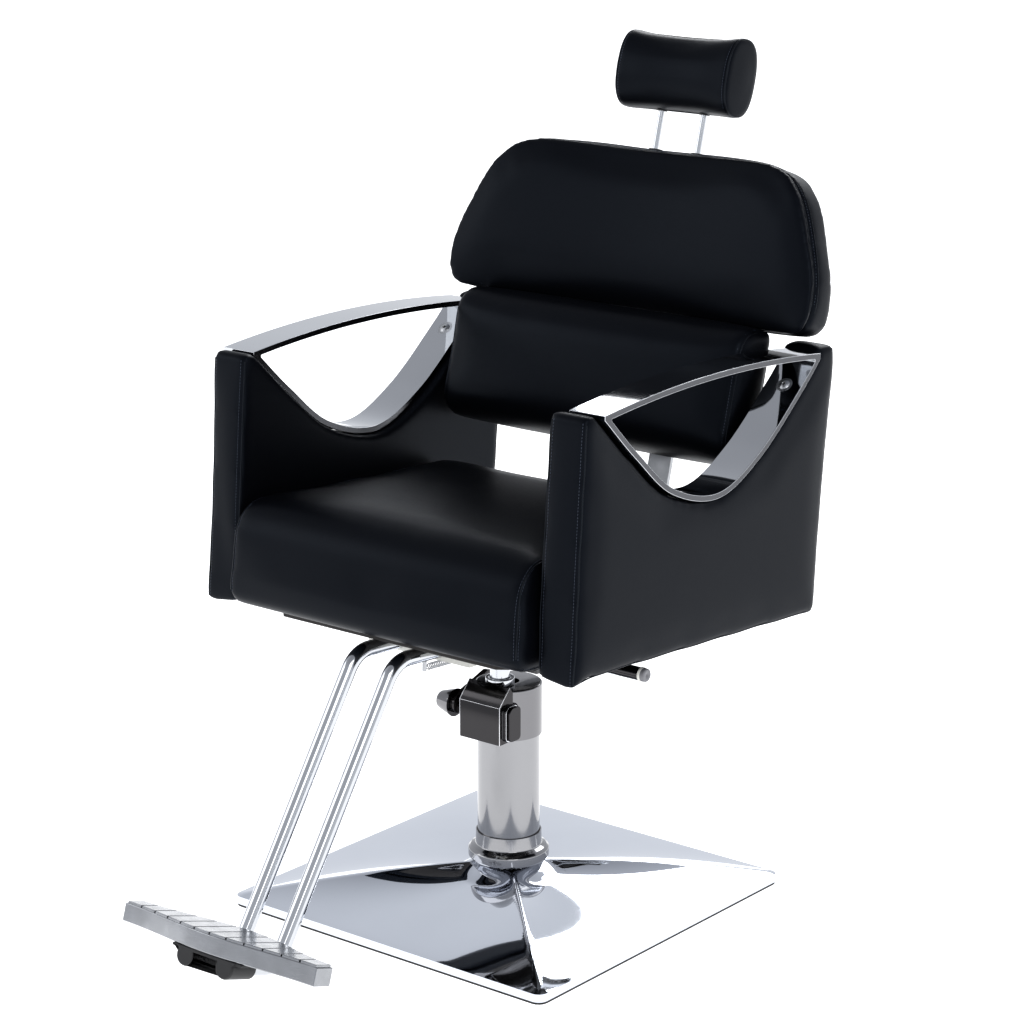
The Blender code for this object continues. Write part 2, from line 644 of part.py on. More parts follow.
def build_back():
    back = empty("recline_hinge", (0, PIVOT_Y, PIVOT_Z), (-BACK_TILT, 0, 0))
    barrel = turned(ring(PIVOT_R + GAP, 0.0140, -0.104, 0.104), sides=24)
    barrel.rotation_euler = (0, pi / 2, 0)
    rest = to_back(*crank_pin())
    lean = degrees(atan2(rest[1], rest[0]))
    for x, way in ((0.0555, 1), (-0.0485, -1)):
        outline = (arc((0, 0), 0.0210, lean + 100, lean + 260, 8) + arc(rest, 0.0110, lean - 80, lean + 80, 6))
        crank = solid(flat([outline, arc((0, 0), 0.0110, 0, 345, 15)], 0.0050, at=x))
        weld(barrel, crank, rod((x, *rest), (x + way * 0.0265, *rest), 0.0050, 16))
    finish(barrel, "recline_crank", DARK_STEEL, back)

    thick = BAR_THICK / 2
    step, low, high = 0.0215, 0.3640, 0.3800
    shape = [(-thick, 0.0143), (thick, 0.0143), (thick, low), (step + thick, high),
             (step + thick, 0.5600), (step - thick, 0.5600), (step - thick, high + 0.003),
             (-thick, low + 0.003)]
    for name, side in sides():
        bar = solid(flat([shape], BAR_WIDTH, at=side * BAR_X))
        finish(bar, "back_bar_" + name, STEEL, back)

    lumbar = box((-LUMBAR_HALF, -0.100, 0.182), (LUMBAR_HALF, -0.0165, 0.372), 0.022)
    finish(lumbar, "lumbar_cushion", LEATHER, back)
    board = box((-LUMBAR_HALF + 0.015, -0.0160, 0.195), (LUMBAR_HALF - 0.015, -0.0050, 0.350))
    finish(board, "lumbar_board", PLYWOOD, back)

    finish(curved_slab(-0.0500, -0.0230), "back_cushion", LEATHER, back)
    board = curved_slab(-0.0225, -0.0120, 0.014)
    finish(board, "back_board", PLYWOOD, back)
    cover = curved_slab(-0.0115, 0.0180)
    for side in (-1, 1):
        x = side * BAR_X
        slot = BAR_WIDTH / 2 + 0.0015
        combine(cover, box((x - slot, 0.0, 0.300), (x + slot, step + thick + 0.0015, 0.5620)))
        bore = rod((side * POST_X, POST_Y, 0.4180), (side * POST_X, POST_Y, 0.6400), 0.0074, 20)
        combine(cover, bore)
    finish(cover, "back_cover", LEATHER, back)
    for name, side in sides():
        sleeve = turned([(0.0095, 0.6105), (0.0095, 0.6070), (0.0070, 0.6070), (0.0070, 0.4200),
                         (POST_R + 0.0004, 0.4200), (POST_R + 0.0004, 0.6105)],
                        location=(side * POST_X, POST_Y, 0), sides=20)
        finish(sleeve, "headrest_sleeve_" + name, PLASTIC, back)
    return back


def crank_pin():
    """Y and Z of the crank pin in the world, with the back upright."""
    lean = CRANK_LEAN - SEAT_TILT
    return (PIVOT_Y + CRANK_ARM * sin(lean), PIVOT_Z - CRANK_ARM * cos(lean))


def build_headrest(back):
    for name, side in sides():
        post = rod((side * POST_X, POST_Y, 0.4900), (side * POST_X, POST_Y, 0.7300), POST_R, 16)
        finish(post, "headrest_post_" + name, CHROME, back)
    pad = box((-0.100, -0.014, 0.667), (0.100, 0.062, 0.776), 0.028)
    for side in (-1, 1):
        x = side * POST_X
        combine(pad, rod((x, POST_Y, 0.640), (x, POST_Y, 0.732), 0.0082, 20))
    finish(pad, "headrest_pad", LEATHER, back)
    for name, side in sides():
        grommet = turned([(0.0078, 0.6770), (0.0078, 0.6655), (POST_R + GAP, 0.6655), (POST_R + GAP, 0.6770)],
                         location=(side * POST_X, POST_Y, 0), sides=20)
        finish(grommet, "headrest_grommet_" + name, PLASTIC, back)


# ---------------------------------------------------------------- recline lever, strut and link
def build_recline(seat):
    y, z = to_seat(*LEVER_AT)
    pin = rod((LEVER_X, y - 0.0165, z), (LEVER_X, y + 0.0165, z), 0.0028, 16)
    finish(pin, "lever_pin", STEEL, seat)

    hinge = empty("lever_hinge", (LEVER_X, y, z))
    hinge.parent = seat
    lever = rod((-0.010, 0, 0), (0.160, 0, 0), 0.0090, 20)
    combine(lever, rod((0, -0.03, 0), (0, 0.03, 0), 0.0031, 16))
    finish(lever, "recline_lever", DARK_STEEL, hinge)
    cap = rod((0.1603, 0, 0), (0.1710, 0, 0), 0.0096, 20, 0.0088)
    finish(cap, "lever_cap", PLASTIC, hinge)

    pin_y, pin_z = to_seat(*crank_pin())
    cylinder = turned([(0, 0.0100), (0.0110, 0.0100), (0.0110, 0.1400), (0.0056, 0.1400),
                       (0.0056, 0.1450), (0.0140, 0.1450), (0.0140, 0), (0, 0)], sides=24)
    cylinder.rotation_euler = (-pi / 2, 0, 0)
    cylinder.location = (STRUT_X, -0.060, pin_z)
    finish(cylinder, "strut_cylinder", DARK_STEEL, seat)
    eye_z = pin_z - PIN_PLAY
    shaft = rod((STRUT_X, 0.0100, pin_z), (STRUT_X, pin_y - 0.0100, pin_z), 0.0050, 16)
    eye = flat([arc((pin_y, eye_z), 0.0120, 0, 345, 23), arc((pin_y, eye_z), 0.0085, 0, 337.5, 15)],
               0.0090, at=STRUT_X)
    finish(weld(shaft, solid(eye)), "strut_rod", CHROME, seat)

    link = empty("link_hinge", (0, pin_y, pin_z))
    link.parent = seat
    reach = pin_y - CROSS_Y
    loop = arc((-reach, 0), 0.0140, 30, 330, 12) + arc((0, 0), 0.0100, -135, 135, 10)
    holes = [arc((-reach, 0), 0.0095, 0, 337.5, 15), arc((0, 0), 0.0053, 0, 337.5, 15)]
    finish(solid(flat([loop, *holes], 0.0050, at=LINK_X)), "footrest_link", STEEL, link)

    route = [(0.128, y + 0.0195, z - 0.006), (0.127, y + 0.0205, -0.046), (0.110, y + 0.018, -0.059),
             (0.087, y + 0.011, -0.063), (0.0745, y + 0.015, -0.0605), (STRUT_X, y + 0.022, pin_z),
             (STRUT_X, -0.0604, pin_z)]
    finish(wire(smooth(route, 3), 0.0025, 2), "release_cable", PLASTIC, seat)


# ---------------------------------------------------------------- footrest
def plate_point(along, down):
    """World Y and Z of a point of the tilted footplate, along towards its front edge."""
    y, z = PLATE_AT
    return (y - along * cos(PLATE_TILT) - down * sin(PLATE_TILT),
            z + along * sin(PLATE_TILT) - down * cos(PLATE_TILT))


def from_seat(y, z):
    """World Y and Z of a point in the tilted frame of the seat."""
    return (y * cos(SEAT_TILT) + z * sin(SEAT_TILT), SEAT_HEIGHT - y * sin(SEAT_TILT) + z * cos(SEAT_TILT))


def tube_path():
    """The footrest tubes' centre line, from under the seat to under the footplate."""
    down = PLATE_THICK + TUBE_R + GAP
    rear = (0, *from_seat(CROSS_Y - TUBE_R - GAP, TUBE_RUN))
    knee = (0, *from_seat(-0.2780, TUBE_RUN))
    heel = (0, *plate_point(-0.0530, down))
    toe = (0, *plate_point(0.0420, down))
    return [rear, *fillet(knee, rear, heel, 0.045), *fillet(heel, knee, toe, 0.030), toe]


def footplate_edge():
    """Outline of the footplate: a boomerang, deepest in the middle and rounded in front."""
    across = [PLATE_HALF * (i / 8 - 1) for i in range(17)]
    swell = [cos(pi * x / (2 * PLATE_HALF)) ** 2 for x in across]
    front = [(x, -0.028 - 0.020 * s) for x, s in zip(across, swell)]
    rear = [(x, 0.003 + 0.037 * s) for x, s in zip(across, swell)]
    return front + rear[::-1]


def build_footrest(seat):
    path = tube_path()
    for name, side in sides():
        points = [(side * TUBE_X, y, z) for _, y, z in path]
        finish(wire(points, TUBE_R, 4), "footrest_tube_" + name, CHROME)

    slide = empty("footrest_slide", (0, 0, 0))
    slide.parent = seat
    cross = rod((LUG_X, CROSS_Y, TUBE_RUN), (0.0455, CROSS_Y, TUBE_RUN), TUBE_R, 24)
    pin_z = to_seat(*crank_pin())[1] - PIN_PLAY
    lug = arc((CROSS_Y, TUBE_RUN), 0.0120, 0, 180, 8) + arc((CROSS_Y, pin_z), 0.0100, 180, 360, 8)
    lug = solid(flat([lug], 0.0050, at=LUG_X))
    pin = rod((LUG_X, CROSS_Y, pin_z), (LINK_X + 0.0060, CROSS_Y, pin_z), 0.0040, 16)
    finish(weld(cross, lug, pin), "footrest_cross_tube", STEEL, slide)

    low = TUBE_RUN - TUBE_R - GAP
    bolt = rod((TUBE_X, SPRING_FRONT, low), (TUBE_X, SPRING_FRONT, low - 0.013), 0.0030, 16)
    finish(bolt, "spring_bolt", STEEL, slide)
    anchor = rod((TUBE_X, SPRING_REAR, -0.0403), (TUBE_X, SPRING_REAR, -0.0500), 0.0025, 16)
    finish(anchor, "spring_anchor", STEEL, seat)
    turns, steps, coil = 12, 8, 0.0035
    first, last = SPRING_FRONT + 0.0075, SPRING_REAR - 0.0070
    height = low - 0.0085
    helix = []
    for i in range(turns * steps + 1):
        angle = 2 * pi * i / steps
        along = first + (last - first) * i / (turns * steps)
        helix.append((TUBE_X + coil * cos(angle), along, height + coil * sin(angle)))
    hooks = [(TUBE_X, SPRING_FRONT + 0.0042, height), *helix, (TUBE_X, SPRING_REAR - 0.0037, height)]
    finish(wire(hooks, 0.0007, 2), "return_spring", STEEL, seat)

    frame = empty("footplate_frame", (0, *PLATE_AT), (-PLATE_TILT, 0, 0))
    plate = solid(flat([footplate_edge()], PLATE_THICK, "XY", -PLATE_THICK / 2))
    finish(plate, "footplate", ALUMINIUM, frame)
    for side in (-1, 1):
        room = solid(wire([(side * TUBE_X, y, z) for _, y, z in path[1:]], TUBE_R + GAP, 4))
        combine(plate, room)

    top, depth, wall = -PLATE_THICK - GAP, -PLATE_THICK - TUBE_R - GAP, 0.0040
    inner, outer = TUBE_R + GAP, TUBE_R + wall
    rise = degrees(atan2(top - wall - depth, (outer ** 2 - (top - wall - depth) ** 2) ** 0.5))
    edge = [(-0.060, top)]
    for x in (-TUBE_X, TUBE_X):
        edge += [(x - inner, top), *arc((x, depth), inner, 180, 360, 10), (x + inner, top)]
    edge += [(0.060, top), (0.060, top - wall)]
    for x in (TUBE_X, -TUBE_X):
        edge += arc((x, depth), outer, rise, -180 - rise, 12)
    edge.append((-0.060, top - wall))
    finish(solid(flat([edge], 0.044, "XZ", -0.022)), "footplate_clamp", PLASTIC, frame)


build_base()
build_pump()
build_pedal()
build_lift()
seat_frame = build_seat()
build_arms()
back_frame = build_back()
build_headrest(back_frame)
build_recline(seat_frame)
build_footrest(seat_frame)
bpy.context.view_layer.update()
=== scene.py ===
"""Looks for a hydraulic barber chair: polished base and pump, black upholstery, open arm loops.

Every piece is built in metres in the chair's own frame: the origin is on the floor on the
pump's axis, the sitter faces -Y and +X is the sitter's left.
"""
from __future__ import annotations

import json
import logging
import math
from dataclasses import dataclass, field
from enum import Enum
from typing import Callable, Iterable, Sequence

import bmesh
import bpy
from mathutils import Matrix, Vector
from mathutils.bvhtree import BVHTree

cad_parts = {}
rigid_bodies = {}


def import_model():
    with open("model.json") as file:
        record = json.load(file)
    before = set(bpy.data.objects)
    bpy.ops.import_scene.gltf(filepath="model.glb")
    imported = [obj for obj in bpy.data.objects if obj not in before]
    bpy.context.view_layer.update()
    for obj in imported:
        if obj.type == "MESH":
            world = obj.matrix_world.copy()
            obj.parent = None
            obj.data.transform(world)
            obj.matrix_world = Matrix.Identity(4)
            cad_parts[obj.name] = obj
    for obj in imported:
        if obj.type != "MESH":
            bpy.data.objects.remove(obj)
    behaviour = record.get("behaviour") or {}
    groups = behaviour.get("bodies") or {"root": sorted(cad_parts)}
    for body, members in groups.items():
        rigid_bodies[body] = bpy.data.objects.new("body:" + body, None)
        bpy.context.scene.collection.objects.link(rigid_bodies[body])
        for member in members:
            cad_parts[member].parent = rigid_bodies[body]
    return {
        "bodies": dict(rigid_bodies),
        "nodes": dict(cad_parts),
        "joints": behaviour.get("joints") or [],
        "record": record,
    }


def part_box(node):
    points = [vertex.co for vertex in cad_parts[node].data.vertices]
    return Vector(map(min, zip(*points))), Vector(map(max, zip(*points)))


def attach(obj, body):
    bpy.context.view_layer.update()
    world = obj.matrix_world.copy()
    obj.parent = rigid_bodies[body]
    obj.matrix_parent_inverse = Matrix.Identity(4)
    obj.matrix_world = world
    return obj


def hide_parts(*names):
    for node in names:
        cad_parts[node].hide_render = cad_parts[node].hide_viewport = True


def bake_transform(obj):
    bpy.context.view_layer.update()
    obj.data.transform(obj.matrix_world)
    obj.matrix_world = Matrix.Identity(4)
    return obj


LOG = logging.getLogger("barber_chair")
Point2 = tuple[float, float]
Point3 = tuple[float, float, float]


class Side(Enum):
    """A side of the chair, as the sitter has it, and the sign of its X."""

    LEFT = 1
    RIGHT = -1

    @property
    def word(self) -> str:
        """The side's name as the frame's nodes spell it."""
        return self.name.lower()


# ------------------------------------------------------------------------------ frames
@dataclass(frozen=True)
class Tilted:
    """A frame tipped back about X, standing at a point on the chair's middle plane."""

    y: float
    z: float
    degrees: float

    @property
    def matrix(self) -> Matrix:
        """The frame's place and turn in the chair's frame."""
        return Matrix.Translation((0, self.y, self.z)) @ Matrix.Rotation(-math.radians(self.degrees), 4, "X")

    def place(self, point: Sequence[float]) -> Vector:
        """A point of this frame, in the chair's frame."""
        return self.matrix @ Vector(point)


UPRIGHT = Tilted(0.0, 0.0, 0.0)
SEAT = Tilted(0.0, 0.430, 3.55)
BACK = Tilted(0.190, 0.430, 15.0)
PLATE = Tilted(-0.555, 0.124, 18.0)


# ------------------------------------------------------------------------------ shader maths
class Sock:
    """A shader socket that adds Math nodes when Python's operators are used on it."""

    def __init__(self, net: "Net", socket: bpy.types.NodeSocket) -> None:
        """Wrap a socket of a net.

        Args:
            net: The net that new nodes go in.
            socket: The output socket to wrap.
        """
        self.net = net
        self.socket = socket

    def _maths(self, operation: str, first: "Value", second: "Value") -> "Sock":
        """Add one Math node.

        Args:
            operation: The node's operation.
            first: Its first value.
            second: Its second value.

        Returns:
            The node's result.
        """
        return self.net.add("ShaderNodeMath", {"operation": operation}, {0: first, 1: second})

    def __add__(self, other: "Value") -> "Sock":
        """Sum of the two."""
        return self._maths("ADD", self, other)

    __radd__ = __add__

    def __sub__(self, other: "Value") -> "Sock":
        """This less the other."""
        return self._maths("SUBTRACT", self, other)

    def __rsub__(self, other: "Value") -> "Sock":
        """The other less this."""
        return self._maths("SUBTRACT", other, self)

    def __mul__(self, other: "Value") -> "Sock":
        """Product of the two."""
        return self._maths("MULTIPLY", self, other)

    __rmul__ = __mul__


Value = Sock | float | int | Sequence[float]


class Net:
    """A material's node tree, built one node at a time."""

    def __init__(self, name: str) -> None:
        """Start an empty material.

        Args:
            name: The material's name.
        """
        self.material = bpy.data.materials.new(name)
        self.material.use_nodes = True
        self.tree = self.material.node_tree
        self.tree.nodes.clear()

    def add(self, kind: str, settings: dict[str, object] | None = None,
            inputs: dict[int | str, Value] | None = None, out: int | str = 0) -> Sock:
        """Add a node, its settings first and its sockets next.

        Args:
            kind: The node's type.
            settings: Properties to set on the node; "stops" fills a colour ramp.
            inputs: Values or links for its sockets.
            out: The output that is handed back.

        Returns:
            The chosen output.
        """
        node = self.tree.nodes.new(kind)
        for key, value in (settings or {}).items():
            if key == "stops":
                ramp = node.color_ramp.elements
                while len(ramp) < len(value):
                    ramp.new(0.5)
                for element, (place, colour) in zip(ramp, value):
                    element.position = place
                    element.color = (*colour, 1.0)
            else:
                setattr(node, key, value)
        for key, value in (inputs or {}).items():
            if isinstance(value, Sock):
                self.tree.links.new(value.socket, node.inputs[key])
            else:
                node.inputs[key].default_value = value
        return Sock(self, node.outputs[out]) if len(node.outputs) else None

    def place(self, scale: Point3 = (1.0, 1.0, 1.0)) -> Sock:
        """Object coordinates, stretched.

        Args:
            scale: The stretch along each axis.

        Returns:
            The stretched coordinates.
        """
        here = self.add("ShaderNodeTexCoord", out="Object")
        if scale == (1.0, 1.0, 1.0):
            return here
        return self.add("ShaderNodeMapping", None, {"Vector": here, "Scale": scale})

    def noise(self, scale: float, detail: float = 2.0, stretch: Point3 = (1.0, 1.0, 1.0)) -> Sock:
        """Noise from 0 to 1 at a scale in cells to the metre."""
        return self.add("ShaderNodeTexNoise", None,
                        {"Vector": self.place(stretch), "Scale": scale, "Detail": detail, "Roughness": 0.55})

    def blend(self, amount: Value, first: Sequence[float], second: Sequence[float]) -> Sock:
        """Mix two colours by an amount."""
        return self.add("ShaderNodeMix", {"data_type": "RGBA"},
                        {0: amount, 6: (*first, 1.0), 7: (*second, 1.0)}, out=2)

    def bump(self, height: Sock, depth: float, strength: float = 1.0) -> Sock:
        """A normal from a height field, its depth in metres."""
        return self.add("ShaderNodeBump", None, {"Height": height, "Distance": depth, "Strength": strength})

    def surface(self, **inputs: Value) -> bpy.types.Material:
        """Close the material with a Principled shader.

        Args:
            inputs: Its sockets, with underscores for spaces.

        Returns:
            The finished material.
        """
        shader = self.add("ShaderNodeBsdfPrincipled", None,
                          {key.replace("_", " "): value for key, value in inputs.items()})
        self.add("ShaderNodeOutputMaterial", None, {"Surface": shader})
        return self.material


# ------------------------------------------------------------------------------ finishes
@dataclass(frozen=True)
class Finish:
    """What a finish shares: a name and the frame's material slot; the slot is not used."""

    name: str
    slot: str

    def build(self) -> bpy.types.Material:
        """Make the material, or hand back the one already made."""
        return bpy.data.materials.get(self.name) or self.paint(Net(self.name))

    def paint(self, net: Net) -> bpy.types.Material:
        """Fill the net; each finish has its own way."""
        raise NotImplementedError


@dataclass(frozen=True)
class Leather(Finish):
    """Black upholstery with a fine pebbled grain and a soft sheen."""

    deep: Point3 = (0.0018, 0.0021, 0.0034)
    worn: Point3 = (0.0034, 0.0040, 0.0064)
    roughness: float = 0.40
    pebbles: float = 950.0
    gloss: float = 0.15

    def paint(self, net: Net) -> bpy.types.Material:
        """Pebbles, fine wrinkles and slow changes of tone."""
        cloud = net.noise(7.0, 3.0)
        grain = net.add("ShaderNodeTexVoronoi", {"feature": "SMOOTH_F1"},
                        {"Vector": net.place(), "Scale": self.pebbles, "Smoothness": 0.6})
        crease = net.noise(260.0, 4.0)
        height = grain * 0.6 + crease * 0.5
        rough = cloud * 0.10 + crease * 0.08 + (self.roughness - 0.09)
        return net.surface(Base_Color=net.blend(cloud, self.deep, self.worn), Roughness=rough,
                           Specular_IOR_Level=self.gloss, Specular_Tint=(0.70, 0.82, 1.0, 1.0),
                           Normal=net.bump(height, 0.00016, 0.45))


@dataclass(frozen=True)
class Polished(Finish):
    """Polished metal with a trace of wiping marks."""

    colour: Point3 = (0.60, 0.615, 0.64)
    roughness: float = 0.035
    smear: float = 0.030

    def paint(self, net: Net) -> bpy.types.Material:
        """Faint smears in the polish and a slow drift of tone."""
        smears = net.noise(38.0, 4.0, (1.0, 1.0, 0.35))
        haze = net.noise(9.0, 2.0)
        darker = tuple(0.93 * part for part in self.colour)
        return net.surface(Base_Color=net.blend(haze, self.colour, darker), Metallic=1.0,
                           Roughness=smears * self.smear + self.roughness,
                           Normal=net.bump(haze, 0.0004, 0.12))


@dataclass(frozen=True)
class Brushed(Finish):
    """Cast or rolled metal with fine scratches along X."""

    colour: Point3 = (0.44, 0.45, 0.47)
    roughness: float = 0.18
    along: Point3 = (0.12, 1.0, 1.0)

    def paint(self, net: Net) -> bpy.types.Material:
        """Stretched scratches over a cloudy cast."""
        lines = net.noise(900.0, 2.0, self.along)
        cloud = net.noise(45.0, 4.0)
        darker = tuple(0.62 * part for part in self.colour)
        return net.surface(Base_Color=net.blend(cloud, self.colour, darker), Metallic=1.0,
                           Roughness=lines * 0.14 + cloud * 0.14 + (self.roughness - 0.10),
                           Normal=net.bump(lines, 0.00008, 0.35))


@dataclass(frozen=True)
class Moulded(Finish):
    """Plastic, rubber, enamel or stained wood: a plain body with a fine texture."""

    colour: Point3 = (0.012, 0.012, 0.013)
    roughness: float = 0.45
    texture: float = 1400.0
    depth: float = 0.00008
    coat: float = 0.0
    stretch: Point3 = (1.0, 1.0, 1.0)

    def paint(self, net: Net) -> bpy.types.Material:
        """A fine moulding texture with a little dust in it."""
        fine = net.noise(self.texture, 2.0, self.stretch)
        cloud = net.noise(24.0, 3.0)
        paler = tuple(min(1.0, 1.5 * part + 0.004) for part in self.colour)
        return net.surface(Base_Color=net.blend(cloud, self.colour, paler), Coat_Weight=self.coat,
                           Roughness=cloud * 0.10 + fine * 0.08 + (self.roughness - 0.09),
                           Normal=net.bump(fine, self.depth, 0.5))


LEATHER = Leather("upholstery_leather", "black_leather")
PIPING = Leather("seam_leather", "black_leather", (0.0016, 0.0018, 0.0024), (0.0030, 0.0034, 0.0048), 0.33, 1500.0,
                 0.30)
CHROME = Polished("mirror_chrome", "polished_chrome")
BASE_CHROME = Polished("base_chrome", "polished_chrome", (0.76, 0.79, 0.85), 0.025, 0.020)
# The loops' flat sides: a dark copy of the chrome, painted shade for the dark reflections there; only its higher
# roughness is a finish.
LOOP_SIDE_PAINTED_SHADE = Polished("loop_edge", "polished_chrome", (0.110, 0.112, 0.120), 0.16, 0.10)
# Column and collar: the chrome darkened to mid-grey, painted shade for the dark reflections they show.
SHADED_COLUMN_CHROME = Polished("column_chrome", "polished_chrome", (0.34, 0.34, 0.35), 0.07, 0.07)
BLACK_CHROME = Polished("black_chrome", "black_steel", (0.060, 0.058, 0.060), 0.10, 0.06)
HEAD_CHROME = Polished("smoked_chrome", "black_steel", (0.230, 0.228, 0.235), 0.08, 0.05)
# A bright copy of the black steel: thin strips on the valve box's edges and a rim round its side cap, painted
# highlights.
PAINTED_EDGE_HIGHLIGHT = Polished("bright_edge_chrome", "black_steel", (0.80, 0.80, 0.82), 0.10, 0.04)
CASTING = Brushed("footplate_casting", "cast_aluminium")
ZINC = Brushed("zinc_plate", "bright_steel", (0.55, 0.56, 0.58), 0.30, (1.0, 1.0, 0.15))
ENAMEL = Moulded("black_enamel", "black_steel", (0.010, 0.010, 0.011), 0.30, 600.0, 0.00006, 0.4)
NYLON_BLACK = Moulded("black_nylon", "black_plastic")
NYLON_PALE = Moulded("pale_nylon", "pale_nylon", (0.62, 0.61, 0.56), 0.50)
RUBBER = Moulded("ribbed_rubber", "black_rubber", (0.015, 0.015, 0.015), 0.72, 900.0, 0.00015)
STAINED_PLY = Moulded("stained_ply", "plywood", (0.016, 0.014, 0.013), 0.62, 420.0, 0.00020, 0.0,
                      (0.08, 1.0, 1.0))
THREAD = Moulded("navy_thread", "black_leather", (0.034, 0.044, 0.066), 0.55, 4000.0, 0.00005)
GREY_CAP = Moulded("grey_cap", "black_plastic", (0.16, 0.16, 0.17), 0.42)


# ------------------------------------------------------------------------------ outlines and paths
def arc(centre: Point2, radius: float, start: float, end: float, steps: int) -> list[Point2]:
    """Points along an arc, its angles in degrees."""
    turns = [math.radians(start + (end - start) * i / steps) for i in range(steps + 1)]
    return [(centre[0] + radius * math.cos(a), centre[1] + radius * math.sin(a)) for a in turns]


def smooth(points: Sequence[Sequence[float]], steps: int) -> list[tuple[float, ...]]:
    """A smooth open curve through points of any dimension.

    Args:
        points: The knots.
        steps: How many points stand for each span.

    Returns:
        The curve's points, both ends included.
    """
    knots = [Vector(p) for p in points]
    knots = [2 * knots[0] - knots[1], *knots, 2 * knots[-1] - knots[-2]]
    line = []
    for a, b, c, d in zip(knots, knots[1:], knots[2:], knots[3:]):
        for i in range(steps):
            t = i / steps
            line.append(0.5 * (2 * b + (c - a) * t + (2 * a - 5 * b + 4 * c - d) * t * t
                               + (3 * b - a - 3 * c + d) * t ** 3))
    line.append(knots[-2])
    return [tuple(p) for p in line]


def rounded(points: Sequence[Point2], radius: float, steps: int = 4, closed: bool = True) -> list[Point2]:
    """A polygon with its corners rounded.

    Args:
        points: The corners in order.
        radius: The largest radius; a short side takes a smaller one.
        steps: Segments in each corner.
        closed: Whether the last corner joins the first; otherwise both ends stay sharp.

    Returns:
        The rounded outline.
    """
    made: list[Point2] = []
    count = len(points)
    for i, point in enumerate(points):
        if not closed and i in (0, count - 1):
            made.append(tuple(point))
            continue
        here = Vector(point)
        before, after = Vector(points[i - 1]) - here, Vector(points[(i + 1) % count]) - here
        half = before.angle(after) / 2
        if half > math.radians(87) or half < 1e-3:
            made.append(tuple(point))
            continue
        reach = min(radius / math.tan(half), 0.48 * before.length, 0.48 * after.length)
        first, last = here + before.normalized() * reach, here + after.normalized() * reach
        for k in range(steps + 1):
            t = k / steps
            bent = first * (1 - t) ** 2 + here * (2 * t * (1 - t)) + last * t ** 2
            made.append(tuple(bent))
    return made


def offset(points: Sequence[Point2], amount: float, closed: bool = True) -> list[Point2]:
    """A path moved sideways, to the left of the way that it runs.

    Args:
        points: The path.
        amount: How far it moves.
        closed: Whether its last point joins its first.

    Returns:
        The moved path, point for point.
    """
    moved = []
    count = len(points)
    for i, here in enumerate(points):
        before = points[i - 1] if closed or i else here
        after = points[(i + 1) % count] if closed or i < count - 1 else here
        along = (Vector(after) - Vector(before)).normalized()
        moved.append((here[0] - along.y * amount, here[1] + along.x * amount))
    return moved


def fillet(corner: Vector, before: Vector, after: Vector, radius: float, steps: int = 14) -> list[Vector]:
    """The arc that rounds a corner of a path between two neighbours."""
    back, on = (before - corner).normalized(), (after - corner).normalized()
    half = back.angle(on) / 2
    centre = corner + (back + on).normalized() * (radius / math.sin(half))
    first, last = corner + back * radius / math.tan(half), corner + on * radius / math.tan(half)
    arms = [(first - centre).slerp(last - centre, i / steps) for i in range(steps + 1)]
    return [centre + arm.normalized() * radius for arm in arms]


# ------------------------------------------------------------------------------ meshes
def as_object(name: str, work: bmesh.types.BMesh, sharp: float = 38.0) -> bpy.types.Object:
    """Turn a bmesh into a smooth-shaded object with its hard edges kept.

    Args:
        name: The object's name.
        work: The mesh, which is freed.
        sharp: Edges steeper than this many degrees stay hard.

    Returns:
        The new object.
    """
    mesh = bpy.data.meshes.new(name)
    work.to_mesh(mesh)
    work.free()
    made = bpy.data.objects.new(name, mesh)
    bpy.context.scene.collection.objects.link(made)
    mesh.shade_smooth()
    mesh.set_sharp_from_angle(angle=math.radians(sharp))
    return made


def applied(thing: bpy.types.Object, sharp: float | None = 38.0) -> bpy.types.Object:
    """The object with its modifiers, or its curve, made a plain mesh in the chair's frame.

    Args:
        thing: The object, which is removed.
        sharp: Edges steeper than this many degrees stay hard; None leaves the shading alone.

    Returns:
        The new object, under the same name.
    """
    bpy.context.view_layer.update()
    mesh = bpy.data.meshes.new_from_object(thing.evaluated_get(bpy.context.evaluated_depsgraph_get()))
    mesh.transform(thing.matrix_world)
    name = thing.name
    bpy.data.objects.remove(thing, do_unlink=True)
    mesh.name = name
    made = bpy.data.objects.new(name, mesh)
    bpy.context.scene.collection.objects.link(made)
    if sharp is not None:
        mesh.shade_smooth()
        mesh.set_sharp_from_angle(angle=math.radians(sharp))
    return made


def lathe(name: str, profile: Sequence[Point2], at: Matrix = Matrix.Identity(4),
          sides: int = 96) -> bpy.types.Object:
    """A turned piece about Z.

    Args:
        name: The piece's name.
        profile: (radius, height) points down the outside; a profile that starts on the axis
            also ends there, and any other is closed.
        at: The place and turn of the piece's axis.
        sides: How many faces go round.

    Returns:
        The turned piece.
    """
    work = bmesh.new()
    closed = profile[0][0] > 1e-9
    rings = []
    for radius, height in profile:
        if radius < 1e-9:
            rings.append([work.verts.new((0, 0, height))] * sides)
        else:
            rings.append([work.verts.new((radius * math.cos(2 * math.pi * i / sides),
                                          radius * math.sin(2 * math.pi * i / sides), height))
                          for i in range(sides)])
    pairs = list(zip(rings, rings[1:])) + ([(rings[-1], rings[0])] if closed else [])
    for upper, lower in pairs:
        for i in range(sides):
            j = (i + 1) % sides
            corners = []
            for vert in (upper[i], lower[i], lower[j], upper[j]):
                if vert not in corners:
                    corners.append(vert)
            if len(corners) > 2:
                work.faces.new(corners)
    bmesh.ops.recalc_face_normals(work, faces=work.faces)
    bmesh.ops.transform(work, matrix=at, verts=work.verts)
    return as_object(name, work)


